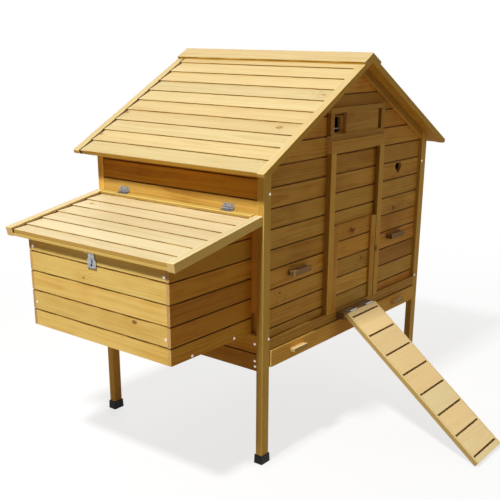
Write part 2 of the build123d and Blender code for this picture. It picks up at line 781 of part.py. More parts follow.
def build_hasp():
    """Slotted hasp under the lid's edge, and the turning eye on the nest front."""
    hasp_y = (nest_start + nest_end) / 2 + hasp_shift
    back_x = -nest_reach - latch_base_thickness - latch_gap
    axis_x = back_x - hinge_offset
    axis_n = lid_edge_n - hinge_offset
    axis_out = (lid_hinge_x - axis_x - axis_n * sin(lid_slope)) / cos(lid_slope)
    axis_z = lid_point(axis_out, axis_n)[1]
    centre = (axis_x, hasp_y, axis_z)
    lid_plane = Plane(origin=centre, x_dir=(0, -1, 0), z_dir=(sin(lid_slope), 0, -cos(lid_slope)))
    hang_plane = Plane(origin=centre, x_dir=(0, 1, 0), z_dir=(-1, 0, 0))
    nodes["hasp_leaf"] = [butt_leaf(lid_plane, hasp_leaf_width, hasp_neck_width, True)]
    slot_z0 = axis_z - hasp_length + hasp_slot_end
    slot_z1 = slot_z0 + hasp_slot_length
    slot = block(
        back_x - hinge_offset, back_x + hinge_offset, hasp_y - hasp_slot_width / 2,
        hasp_y + hasp_slot_width / 2, slot_z0, slot_z1,
    )
    foot_z = axis_z - hasp_length
    neck_z = axis_z - hasp_neck
    shoulder_z = neck_z - hasp_shoulder
    right = [(hasp_width / 2, foot_z), (hasp_width / 2, shoulder_z), (hasp_neck_width / 2, neck_z)]
    outline = [(hasp_y + half, z) for half, z in right]
    outline += [(hasp_y - half, z) for half, z in reversed(right)]
    plate = prism_along_x(outline, back_x - leaf_thickness, back_x)
    neck = butt_leaf(hang_plane, hasp_neck, hasp_neck_width, False)
    nodes["hasp_plate"] = [neck + plate - slot]
    nodes["hasp_pin"] = [hinge_pin(hang_plane, hasp_neck_width)]

    eye_z = slot_z1 - eye_slot_gap - eye_height / 2
    base_x = -nest_reach - latch_base_thickness
    base = block(
        base_x, -nest_reach, hasp_y - latch_base_width / 2, hasp_y + latch_base_width / 2,
        eye_z - latch_base_height / 2, eye_z + latch_base_height / 2,
    )
    bore = rod_along_x(eye_stem_r + pin_fit, base_x, -nest_reach, hasp_y, eye_z)
    nodes["latch_base"] = [base - bore]
    head_x1 = back_x - leaf_thickness - latch_gap
    head = block(
        head_x1 - eye_thickness, head_x1, hasp_y - eye_width / 2, hasp_y + eye_width / 2,
        eye_z - eye_height / 2, eye_z + eye_height / 2,
    )
    stem_end = -nest_reach - pin_fit
    nodes["latch_eye"] = [head + rod_along_x(eye_stem_r, head_x1, stem_end, hasp_y, eye_z)]
    return centre, eye_z


def build_ramp():
    """Ramp boards between side strips, hinged to a ledger and resting on the ground."""
    ledger_top = rail_top - ledger_drop
    axis_y = -ledger_depth - ledger_to_axis
    axis_z = ledger_top + hinge_offset
    run = hinge_offset + ramp_length
    depth = ramp_thickness - ramp_axis_drop
    slope = asin(axis_z / hypot(run, depth)) - atan2(depth, run)

    def ramp_point(along, up):
        """Point (y, z) on the ramp: along from the hinge axis, up square to the ramp."""
        y = axis_y - along * cos(slope) - up * sin(slope)
        z = axis_z - along * sin(slope) + up * cos(slope)
        return (y, z)

    x0 = doorway_x - ramp_width / 2
    x1 = doorway_x + ramp_width / 2
    top = ramp_axis_drop
    corners = [(hinge_offset, top - ramp_thickness), (hinge_offset, top)]
    corners += [(run, top), (run, top - ramp_thickness)]
    strip = [ramp_point(along, up) for along, up in corners]
    nodes["ramp_side_strips"] = [
        prism_along_x(strip, x0, x0 + ramp_strip_width),
        prism_along_x(strip, x1 - ramp_strip_width, x1),
    ]
    count = ceil((ramp_length - thin_course - tread_foot_cover) / tread_cover)
    lines = [0.0] + [tread_foot_cover + tread_cover * k for k in range(count)] + [ramp_length]
    treads = []
    for low, high in zip(lines, lines[1:]):
        outline = board_outline(high - low, tread_thickness, low > 0, high < ramp_length, tread_groove)
        placed = [ramp_point(run - low - rise, top - sunk) for sunk, rise in outline]
        treads.append(prism_along_x(placed, x0 + ramp_strip_width, x1 - ramp_strip_width))
    nodes["ramp_boards"] = treads
    nodes["ramp_ledger"] = [block(x0, x1, -ledger_depth, 0, ledger_top - ledger_height, ledger_top)]

    moving = []
    for x in (doorway_x - ramp_hinge_spacing / 2, doorway_x + ramp_hinge_spacing / 2):
        centre = (x, axis_y, axis_z)
        ledger_plane = Plane(origin=centre, x_dir=(1, 0, 0), z_dir=(0, 0, 1))
        end_plane = Plane(origin=centre, x_dir=(1, 0, 0), z_dir=(0, cos(slope), sin(slope)))
        nodes["fixed_hinge_leaves"].append(butt_leaf(ledger_plane, ramp_leaf_width, hinge_length, True))
        moving.append(butt_leaf(end_plane, ramp_end_leaf_width, hinge_length, False))
        nodes["hinge_pins"].append(hinge_pin(ledger_plane, hinge_length))
    nodes["ramp_hinge_leaves"] = moving
    return axis_y, axis_z, slope


def build_tray():
    """Dropping tray with a wooden front, sliding on two runners."""
    x0 = post_width + tray_side_gap
    x1 = frame_width - x0
    front_y0 = -tray_front_proud
    front_y1 = front_y0 + tray_front_thickness
    top_z = rail_bottom - tray_top_gap
    low_z = top_z - tray_front_height
    base_z0 = low_z + tray_base_rise
    base_z1 = base_z0 + tray_base_thickness
    back_y = frame_depth - post_depth - tray_back_gap
    rim_top = base_z1 + tray_rim_height
    nodes["tray_front"] = [block(x0, x1, front_y0, front_y1, low_z, top_z)]
    nodes["tray_base"] = [block(x0, x1, front_y1, back_y, base_z0, base_z1)]
    rim_back = back_y - tray_rim_thickness
    nodes["tray_rims"] = [
        block(x0, x0 + tray_rim_thickness, front_y1, rim_back, base_z1, rim_top),
        block(x1 - tray_rim_thickness, x1, front_y1, rim_back, base_z1, rim_top),
        block(x0, x1, rim_back, back_y, base_z1, rim_top),
    ]
    handle_x = post_width + tray_handle_inset
    nodes["tray_handles"] = [
        coved_handle(
            start, tray_handle_length, tray_handle_height, tray_handle_depth, front_y0,
            low_z + tray_handle_rise, tray_cove_r, tray_cove_depth, tray_cove_out,
        )
        for start in (handle_x, frame_width - handle_x - tray_handle_length)
    ]
    runner_top = base_z0 - tray_slide_gap
    runner_y0 = post_depth + stile_width
    runner_x0 = side_face_x + board_thickness
    runner_bottom = runner_top - runner_height
    nodes["tray_runners"] = [
        block(start, start + runner_width, runner_y0, rear_stile_start, runner_bottom, runner_top)
        for start in (runner_x0, frame_width - runner_x0 - runner_width)
    ]


def build_perches():
    """Two perches lying in notched blocks on the front and rear walls."""
    y0 = post_depth
    y1 = frame_depth - post_depth
    perch_top = rail_top + perch_rise
    low_z = perch_top - perch_height
    perches = []
    blocks = []
    for x in (frame_width - perch_inset - perch_spacing, frame_width - perch_inset):
        half_width = perch_width / 2
        bar = block(x - half_width, x + half_width, y0 + perch_fit, y1 - perch_fit, low_z, perch_top)
        top_edges = bar.edges().filter_by(Axis.Y).group_by(Axis.Z)[-1]
        perches.append(fillet(top_edges, perch_round))
        half_notch = half_width + perch_fit
        notch = block(x - half_notch, x + half_notch, y0, y1, low_z, perch_top)
        for start in (y0, y1 - perch_block_thickness):
            holder = block(
                x - perch_block_width / 2, x + perch_block_width / 2, start, start + perch_block_thickness,
                perch_top - perch_block_height, perch_top,
            )
            blocks.append(holder - notch)
    nodes["perches"] = perches
    nodes["perch_blocks"] = blocks


build_posts()
build_front_wall()
build_rear_wall()
build_side_walls()
build_door()
build_vent()
build_handles()
build_roof()
build_nest()
build_lid()
build_lid_hinges()
hasp_axis, eye_z = build_hasp()
ramp_axis_y, ramp_axis_z, ramp_slope = build_ramp()
build_tray()
build_perches()

# The origin goes under the middle of the coop's box
everything = Compound([solid for pieces in nodes.values() for solid in pieces])
box = everything.bounding_box()
shift = Pos(-(box.min.X + box.max.X) / 2, -(box.min.Y + box.max.Y) / 2, 0)

os.makedirs("parts", exist_ok=True)
for name, pieces in nodes.items():
    solids = [shift * solid for piece in pieces for solid in piece.solids()]
    export_step(solids[0] if len(solids) == 1 else Compound(solids), f"parts/{name}.step")

print("box", box.min, box.max, "shift", shift.position)
print("lid axis", lid_hinge_x, lid_hinge_z, "hasp axis", hasp_axis, "eye", eye_z)
print("ramp axis", ramp_axis_y, ramp_axis_z, "slope", degrees(ramp_slope))
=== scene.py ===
"""The looks of a raised chicken coop: honey-stained pine, zinc fittings, black foot caps, a pale studio."""

import json
import logging
from dataclasses import dataclass, field, replace
from enum import Enum
from functools import partialmethod
from math import cos, pi, radians, sin
from typing import Optional, Sequence, Union

import bmesh
import bpy
import numpy as np
from mathutils import Matrix, Vector

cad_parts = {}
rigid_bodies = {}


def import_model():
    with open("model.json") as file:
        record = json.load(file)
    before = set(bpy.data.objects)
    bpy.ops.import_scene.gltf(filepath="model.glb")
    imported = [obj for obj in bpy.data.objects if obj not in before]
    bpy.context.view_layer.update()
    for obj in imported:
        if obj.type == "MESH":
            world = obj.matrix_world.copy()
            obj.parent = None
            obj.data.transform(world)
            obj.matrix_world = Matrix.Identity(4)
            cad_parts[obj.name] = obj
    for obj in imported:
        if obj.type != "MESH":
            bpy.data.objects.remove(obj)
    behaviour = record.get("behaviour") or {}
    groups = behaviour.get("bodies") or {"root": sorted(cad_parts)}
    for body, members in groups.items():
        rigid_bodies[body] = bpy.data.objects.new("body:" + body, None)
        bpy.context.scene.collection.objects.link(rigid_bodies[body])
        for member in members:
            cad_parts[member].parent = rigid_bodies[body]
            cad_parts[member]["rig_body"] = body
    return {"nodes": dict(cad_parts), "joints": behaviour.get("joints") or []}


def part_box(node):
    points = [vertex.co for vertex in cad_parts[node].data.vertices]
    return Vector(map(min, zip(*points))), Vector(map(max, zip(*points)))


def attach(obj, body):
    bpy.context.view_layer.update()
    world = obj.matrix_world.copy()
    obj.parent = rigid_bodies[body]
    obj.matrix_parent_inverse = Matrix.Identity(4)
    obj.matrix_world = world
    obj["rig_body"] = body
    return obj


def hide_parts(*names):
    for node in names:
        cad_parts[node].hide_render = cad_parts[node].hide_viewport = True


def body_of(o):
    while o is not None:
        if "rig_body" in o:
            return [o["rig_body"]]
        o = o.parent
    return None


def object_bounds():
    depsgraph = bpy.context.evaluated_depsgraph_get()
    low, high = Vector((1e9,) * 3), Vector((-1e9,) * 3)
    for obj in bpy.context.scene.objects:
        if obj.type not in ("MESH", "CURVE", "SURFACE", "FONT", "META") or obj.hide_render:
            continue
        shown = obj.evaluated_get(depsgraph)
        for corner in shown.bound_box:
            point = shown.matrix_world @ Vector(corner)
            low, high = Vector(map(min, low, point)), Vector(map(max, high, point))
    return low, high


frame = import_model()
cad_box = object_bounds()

log = logging.getLogger("coop")

Socket = bpy.types.NodeSocket
Material = bpy.types.Material
Feed = Union[float, Sequence[float], "Term"]
Pair = tuple[float, float]
Triple = tuple[float, float, float]
Colour = Triple
# Places of screws are millimetres off the front left post's outer corner on the ground.
Places = tuple[Triple, ...]
# A noise is its waves a metre along each axis, and its detail.
Noise = tuple[Triple, float]

IMAGE_PIXELS = 500
MILLIMETRE = 0.001
# Longer than any board: the cover of timbers that count as one, and the start of the painted shade line at
# the far end of boards without one.
BEYOND = 10.0


class Axis(Enum):
    """The coop's own directions."""

    RIGHT = (1.0, 0.0, 0.0)
    BACK = (0.0, 1.0, 0.0)
    UP = (0.0, 0.0, 1.0)

    @property
    def vector(self) -> Vector:
        """The direction as a unit vector."""
        return Vector(self.value)


class Slot(Enum):
    """Material slots of the record."""

    PINE = "pine"
    ZINC = "zinc"
    PLASTIC = "black_plastic"


class Body(Enum):
    """Bodies of the record that new pieces ride on."""

    FRAME = "coop_frame"
    LID = "nest_lid"
    DOOR = "pop_door"


class Mixed(Enum):
    """What a Mix node mixes, with the numbers of its two inputs and its result for that kind of data."""

    RGBA = (6, 7, 2)
    VECTOR = (4, 5, 1)


class Term:
    """A socket in a shader formula, with the sheet that it is on."""

    def __init__(self, sheet: "NodeSheet", socket: Socket) -> None:
        """Keeps the socket and the sheet that it is on."""
        self.sheet = sheet
        self.socket = socket

    def math(self, operation: str, *others: Feed) -> "Term":
        """The result of a Math node on this term and others."""
        return self.sheet.math(operation, self, *others)

    # The signs between a term and another or a number, and the absolute value: each adds one Math node.
    __add__ = partialmethod(math, "ADD")
    __sub__ = partialmethod(math, "SUBTRACT")
    __mul__ = partialmethod(math, "MULTIPLY")
    __truediv__ = partialmethod(math, "DIVIDE")
    __pow__ = partialmethod(math, "POWER")
    __abs__ = partialmethod(math, "ABSOLUTE")
    __lt__ = partialmethod(math, "LESS_THAN")
    __gt__ = partialmethod(math, "GREATER_THAN")

    def __rsub__(self, other: float) -> "Term":
        """A number less this term."""
        return self.sheet.math("SUBTRACT", other, self)

    def centred(self) -> "Term":
        """A draw or noise from 0 to 1, less a half."""
        return self - 0.5

    def step(self, start: Feed, end: Feed, low: float = 0.0, high: float = 1.0) -> "Term":
        """A smooth step from low, where this term is at start, to high, where it is at end."""
        inputs = {"Value": self, "From Min": start, "From Max": end, "To Min": low, "To Max": high}
        return self.sheet.node("MapRange", inputs, interpolation_type="SMOOTHSTEP")

    def parts(self) -> tuple["Term", "Term", "Term"]:
        """The three parts of a vector."""
        return tuple(Term(self.sheet, part) for part in self.sheet.add("SeparateXYZ", {0: self}).outputs)

    def along(self, axis: Axis) -> "Term":
        """The part of a vector along an axis."""
        return self.sheet.node("VectorMath", {0: self, 1: axis.value}, "Value", operation="DOT_PRODUCT")

    def stretched(self, shares: Sequence[float]) -> "Term":
        """A vector with each part times its share."""
        return self.sheet.node("VectorMath", {0: self, 1: shares}, operation="MULTIPLY")

    def noise(self, waves: Sequence[float], detail: float) -> "Term":
        """Noise from 0 to 1 with so many waves a metre along each axis."""
        return self.sheet.node("TexNoise", {"Vector": self.stretched(waves), "Scale": 1.0, "Detail": detail})


class NodeSheet:
    """Writes shader nodes into one tree, with terms or plain numbers as inputs."""

    def __init__(self, tree: bpy.types.NodeTree) -> None:
        """Keeps the tree that the nodes go into."""
        self.tree = tree

    def feed(self, target: Socket, value: Feed) -> None:
        """Links a term into the target, or sets the target to a plain value.

        Args:
            target: The input to fill.
            value: A term, a number or a tuple of numbers.
        """
        if isinstance(value, Term):
            self.tree.links.new(value.socket, target)
        elif target.type == "RGBA" and len(value) == 3:
            target.default_value = (*value, 1.0)
        else:
            target.default_value = value

    def add(self, kind: str, inputs: Optional[dict] = None, **settings: object) -> bpy.types.Node:
        """Adds one node.

        Args:
            kind: The node's type name without its ShaderNode prefix.
            inputs: Values for its inputs, by name or by number.
            **settings: The node's own properties.

        Returns:
            The new node.
        """
        made = self.tree.nodes.new("ShaderNode" + kind)
        for name, value in settings.items():
            setattr(made, name, value)
        for key, value in (inputs or {}).items():
            self.feed(made.inputs[key], value)
        return made

    def node(self, kind: str, inputs: dict, output: Union[int, str] = 0, **settings: object) -> Term:
        """One output of a new node, the first unless another is named."""
        return Term(self, self.add(kind, inputs, **settings).outputs[output])

    def math(self, operation: str, *terms: Feed) -> Term:
        """The result of a Math node on the terms."""
        return self.node("Math", dict(enumerate(terms)), operation=operation)

    def joined(self, *parts: Feed) -> Term:
        """A vector from three parts."""
        return self.node("CombineXYZ", dict(enumerate(parts)))

    def mix(self, kind: Mixed, share: Feed, low: Feed, high: Feed, **settings: object) -> Term:
        """Low mixed with high by share, as one kind of data."""
        first, second, result = kind.value
        return self.node("Mix", {0: share, first: low, second: high}, result, data_type=kind.name, **settings)

    def blend(self, share: Feed, low: Feed, high: Feed, mode: str = "MIX") -> Term:
        """The colour low mixed with high by share."""
        return self.mix(Mixed.RGBA, share, low, high, blend_type=mode, clamp_factor=True)

    def chosen(self, share: Term, first: Term, second: Term) -> Term:
        """The first vector where the share is 0, the second where it is 1."""
        return self.mix(Mixed.VECTOR, share, first, second)

    def coordinates(self) -> tuple[Term, Term]:
        """The place and the facing of each point of a piece."""
        source = self.add("TexCoord").outputs
        return Term(self, source["Object"]), Term(self, source["Normal"])


class MaterialSheet(NodeSheet):
    """The node sheet of a new material."""

    def __init__(self, name: str) -> None:
        """Starts the material with a Principled shader.

        Args:
            name: The material's name.
        """
        self.material = bpy.data.materials.new(name)
        self.material.use_nodes = True
        super().__init__(self.material.node_tree)

    def surface(self, colour: Term, roughness: Term, height: Term, relief: Pair,
                uniform: dict[str, float]) -> Material:
        """Feeds the shader.

        Args:
            colour: Colour of the surface.
            roughness: Its roughness.
            height: Height of its relief, from 0 to 1.
            relief: How strongly the relief shows, and its depth.
            uniform: Values that are the same all over, by socket.

        Returns:
            The finished material.
        """
        shader = self.tree.nodes["Principled BSDF"]
        bump = self.node("Bump", {"Height": height, "Strength": relief[0], "Distance": relief[1]})
        inputs = {"Base Color": colour, "Roughness": roughness, "Normal": bump, **uniform}
        for title, value in inputs.items():
            self.feed(shader.inputs[title], value)
        return self.material


@dataclass(frozen=True)
class Band:
    """A stretch along one axis in which the timbers of a node run another way."""

    axis: Axis
    low: float
    high: float
    along: Vector
    across: Vector

    def holds(self, place: Term) -> Term:
        """1 where a place lies in the stretch, 0 elsewhere."""
        middle, reach = (self.low + self.high) / 2, (self.high - self.low) / 2
        return place.along(self.axis).math("COMPARE", middle, reach)


@dataclass(frozen=True)
class Lay:
    """How the timbers of a node lie.

    Attributes:
        along: Direction of the grain.
        across: Direction in which boards follow each other.
        origin: Point on the lower edge of a board, on its face.
        cover: Distance from board to board.
        groove: Width of the dark joint at each board's lower edge; on the ridge boards it is a painted shadow
            line.
        mirrored_at: Middle plane across x, where the two sides mirror each other.
        band: Where the timbers run another way.
        far_shade_start: How far along the grain the painted shade line at the boards' far ends begins, beside
            the raised strip there.
        painted_lit_below: Height below which the boards take their sun colours whatever their facing: painted
            light on the lowest course under the eave's shadow.
        sun_lit_facing: How far up a face looks where it begins to take the sun colours, and where it takes
            them fully.
    """

    along: Vector
    across: Vector
    origin: Vector
    cover: float = BEYOND
    groove: float = 0.0
    mirrored_at: Optional[float] = None
    band: Optional[Band] = None
    far_shade_start: float = BEYOND
    painted_lit_below: Optional[float] = None
    sun_lit_facing: Pair = (0.4, 0.75)

    def turned(self, place: Term, facing: Term, along: Vector, across: Vector) -> tuple[Term, Term]:
        """Turns a place and a facing into board axes: along, across and out of the face.

        Args:
            place: The place.
            facing: The facing.
            along: Direction of the grain.
            across: Direction across the boards.

        Returns:
            The place and the facing in board axes.
        """
        axes = Matrix((along, across, along.cross(across)))
        turn, start = axes.to_euler(), -(axes @ self.origin)
        lain = {"Vector": place, "Rotation": turn, "Location": start}
        faced = {"Vector": facing, "Rotation": turn}
        return (place.sheet.node("Mapping", lain, vector_type="POINT"),
                place.sheet.node("Mapping", faced, vector_type="VECTOR"))

    def coordinates(self, sheet: NodeSheet) -> tuple[Term, Term, Term]:
        """Places and facings in board axes.

        Args:
            sheet: Where the nodes go.

        Returns:
            The place, the facing and the share of the sun colours, which is partly sun bleaching and partly
            painted light, at each point.
        """
        whole, facing = sheet.coordinates()
        place = whole
        if self.painted_lit_below is None:
            sun_lit = facing.along(Axis.UP).step(*self.sun_lit_facing)
        else:
            sun_lit = whole.along(Axis.UP) < self.painted_lit_below
        if self.mirrored_at is not None:
            x, y, z = whole.parts()
            side = x - self.mirrored_at
            place = sheet.joined(abs(side), y, z)
            facing_x, facing_y, facing_z = facing.parts()
            facing = sheet.joined(facing_x * side.math("SIGN"), facing_y, facing_z)
        lain, faced = self.turned(place, facing, self.along, self.across)
        if self.band is not None:
            inside = self.band.holds(whole)
            other_lain, other_faced = self.turned(place, facing, self.band.along, self.band.across)
            lain = sheet.chosen(inside, lain, other_lain)
            faced = sheet.chosen(inside, faced, other_faced)
        return lain, faced, sun_lit


def linked(name: str, data: bpy.types.ID) -> bpy.types.Object:
    """Puts a new object into the scene.

    Args:
        name: The object's name.
        data: Its mesh, lamp or camera.

    Returns:
        The new object, at the origin.
    """
    made = bpy.data.objects.new(name, data)
    bpy.context.scene.collection.objects.link(made)
    return made


@dataclass(frozen=True)
class Shape:
    """A closed mesh as two arrays: points in metres, and three point numbers for each triangle."""

    points: np.ndarray
    corners: np.ndarray

    @classmethod
    def ringed(cls, rings: np.ndarray, low: Triple, high: Triple) -> "Shape":
        """A closed form from rings of points that climb from a lower to an upper pole.

        Two triangles fill the field between each point and the next on its ring and on the ring above, and
        a fan of triangles runs from each pole to its ring.

        Args:
            rings: Points as an array of rings, turns and coordinates, counter-clockwise from above.
            low: The lower pole.
            high: The upper pole.

        Returns:
            The shape, with faces that point outwards.
        """
        rows, turns = rings.shape[:2]
        column = np.arange(turns)
        following = (column + 1) % turns
        start = np.arange(rows - 1)[:, None] * turns
        first = np.stack([start + column, start + following, start + turns + following], axis=-1)
        second = np.stack([start + column, start + turns + following, start + turns + column], axis=-1)
        foot, tip, last = rows * turns, rows * turns + 1, (rows - 1) * turns
        lower = np.stack([np.full(turns, foot), following, column], axis=-1)
        upper = np.stack([np.full(turns, tip), last + column, last + following], axis=-1)
        corners = np.concatenate([first.reshape(-1, 3), second.reshape(-1, 3), lower, upper])
        return cls(np.concatenate([rings.reshape(-1, 3), [low], [high]]), corners)

    @classmethod
    def turned(cls, radius: np.ndarray, height: np.ndarray, turns: int) -> "Shape":
        """A turned form: the point at row i and turn t is (r_i cos t, r_i sin t, h_i).

        Args:
            radius: Radius of each row, from the foot up.
            height: Height of each row.
            turns: Steps round the axis.

        Returns:
            The shape, closed at its foot and tip on the axis.
        """
        turn = np.linspace(0.0, 2 * pi, turns, endpoint=False)
        rows = (radius[:, None] * np.cos(turn), radius[:, None] * np.sin(turn), height[:, None])
        rings = np.stack(np.broadcast_arrays(*rows), axis=-1)
        return cls.ringed(rings, (0.0, 0.0, height[0]), (0.0, 0.0, height[-1]))

    def placed(self, places: np.ndarray, outward: Vector, spin: float = 0.0) -> "Shape":
        """Copies set on places: each is turned about its upright axis, and that axis then turned outward.

        Args:
            places: One point for each copy.
            outward: Where the shape's upright axis points.
            spin: Turn about that axis, times the number of the copy.

        Returns:
            All copies in one shape.
        """
        up = outward.normalized()
        side = up.orthogonal().normalized()
        axes = np.array([side, up.cross(side), up])
        angles = np.arange(len(places)) * spin
        turn = np.zeros((len(places), 3, 3))
        turn[:, 0, 0] = turn[:, 1, 1] = np.cos(angles)
        turn[:, 0, 1] = np.sin(angles)
        turn[:, 1, 0] = -np.sin(angles)
        turn[:, 2, 2] = 1.0
        copies = self.points[None] @ turn @ axes + np.asarray(places)[:, None, :]
        steps = np.arange(len(places))[:, None, None] * len(self.points)
        return Shape(copies.reshape(-1, 3), (self.corners[None] + steps).reshape(-1, 3))

    def piece(self, name: str, material: Material, body: Body, slot: Slot) -> bpy.types.Object:
        """Puts the shape into the scene on a body.

        Args:
            name: The piece's name.
            material: Its material.
            body: The CAD body that it rides on.
            slot: Not used.

        Returns:
            The new object.
        """
        mesh = bpy.data.meshes.new(name)
        mesh.from_pydata(self.points.tolist(), [], self.corners.tolist())
        mesh.materials.append(material)
        mesh.polygons.foreach_set("use_smooth", np.ones(len(mesh.polygons), dtype=bool))
        mesh.update()
        piece = linked(name, mesh)
        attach(piece, body.value)
        log.info("made %s with %d faces on %s", name, len(mesh.polygons), body.value)
        return piece


def dress(node: str, material: Material) -> None:
    """Gives a CAD node its material.

    Args:
        node: The node's name.
        material: The material.
    """
    slots = frame["nodes"][node].data.materials
    slots.clear()
    slots.append(material)
    log.info("dressed %s in %s", node, material.name)


@dataclass(frozen=True)
class EasedEdges:
    """A copy of a CAD node whose sharp edges are taken off, as a planer or a mould leaves them."""

    node: str
    width: float
    slot: Slot = Slot.PINE
    segments: int = 3
    edge_slot: int = 1
    sharp: float = radians(35.0)
    flat: float = radians(0.2)
    weld: float = 0.01 * MILLIMETRE

    def build(self, face: Material, edge: Material) -> None:
        """Makes the copy, which stands for the node.

        Args:
            face: The material of the faces.
            edge: The material of the eased edges.
        """
        source = frame["nodes"][self.node]
        name = self.node + "_eased"
        mesh = bpy.data.meshes.new(name)
        work = bmesh.new()
        work.from_mesh(source.data)
        bmesh.ops.remove_doubles(work, verts=work.verts, dist=self.weld)
        bmesh.ops.dissolve_limit(work, angle_limit=self.flat, verts=work.verts, edges=work.edges)
        work.to_mesh(mesh)
        work.free()
        mesh.materials.clear()
        mesh.materials.append(face)
        mesh.materials.append(edge)
        mesh.polygons.foreach_set("material_index", np.zeros(len(mesh.polygons), dtype=np.int32))
        mesh.polygons.foreach_set("use_smooth", np.zeros(len(mesh.polygons), dtype=bool))
        piece = linked(name, mesh)
        bevel = piece.modifiers.new("eased", "BEVEL")
        bevel.width = self.width
        bevel.segments = self.segments
        bevel.limit_method = "ANGLE"
        bevel.angle_limit = self.sharp
        bevel.use_clamp_overlap = False
        bevel.material = self.edge_slot
        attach(piece, body_of(source)[0])
        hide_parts(self.node)
        log.info("eased %s by %.1f mm", self.node, self.width / MILLIMETRE)


@dataclass(frozen=True)
class PineFigure:
    """The figure that all pine has: the log that boards are picked from, and how far each mark shows.

    A pair is where the smooth step of a mark starts and ends.
    """

    log_length: float = 40.0
    log_girth: float = 7.0
    draw_plane: float = 0.37
    heart_rise: float = 30 * MILLIMETRE
    heart_sink: float = 50 * MILLIMETRE
    taper: float = 0.012
    ring_rise: Pair = (0.15, 0.85)
    ring_fall: Pair = (1.0, 0.86)
    slow: Noise = ((2.2, 9.0, 9.0), 1.0)
    streak: Noise = ((1.1, 34.0, 34.0), 2.0)
    fibre: Noise = ((5.0, 300.0, 300.0), 3.0)
    cloud: Noise = ((2.6, 6.0, 6.0), 2.0)
    blotch: Noise = ((11.0, 30.0, 30.0), 2.0)
    knot_edge: Noise = ((90.0, 90.0, 90.0), 1.0)
    knot_edge_depth: float = 4 * MILLIMETRE
    knot_stretch: float = 0.62
    knot_least: float = 0.5
    knot_core: Pair = (1.15, 0.75)
    knot_rim: Pair = (0.55, 0.95)
    knot_reach: float = 40 * MILLIMETRE
    knot_push: float = 12 * MILLIMETRE
    joint_core: float = 0.7
    joint_patch: Pair = (0.75, 0.35)
    # Facings across the boards where the painted edge shade starts and where it is full.
    edge_shade_facing: Pair = (0.6, 0.9)
    end_facing: Pair = (0.7, 0.9)
    end_ring_share: float = 0.7
    streak_share: float = 0.95
    cloud_share: float = 0.75
    blotch_share: float = 0.45
    fibre_share: float = 0.45
    swirl_share: float = 0.22
    core_share: float = 0.82
    rim_share: float = 0.6
    fibre_roughness: float = 0.3
    ring_height: float = 0.35
    fibre_height: float = 0.5
    core_height: float = 0.4


@dataclass(frozen=True)
class PineMarks:
    """The marks on a board, each from 0 to 1: its figure, its knots, the stain in its joints and the painted
    shade at its far ends.
    """

    ring: Term
    streak: Term
    fibre: Term
    cloud: Term
    blotch: Term
    core: Term
    rim: Term
    swirl: Term
    stain: Term
    gap: Term


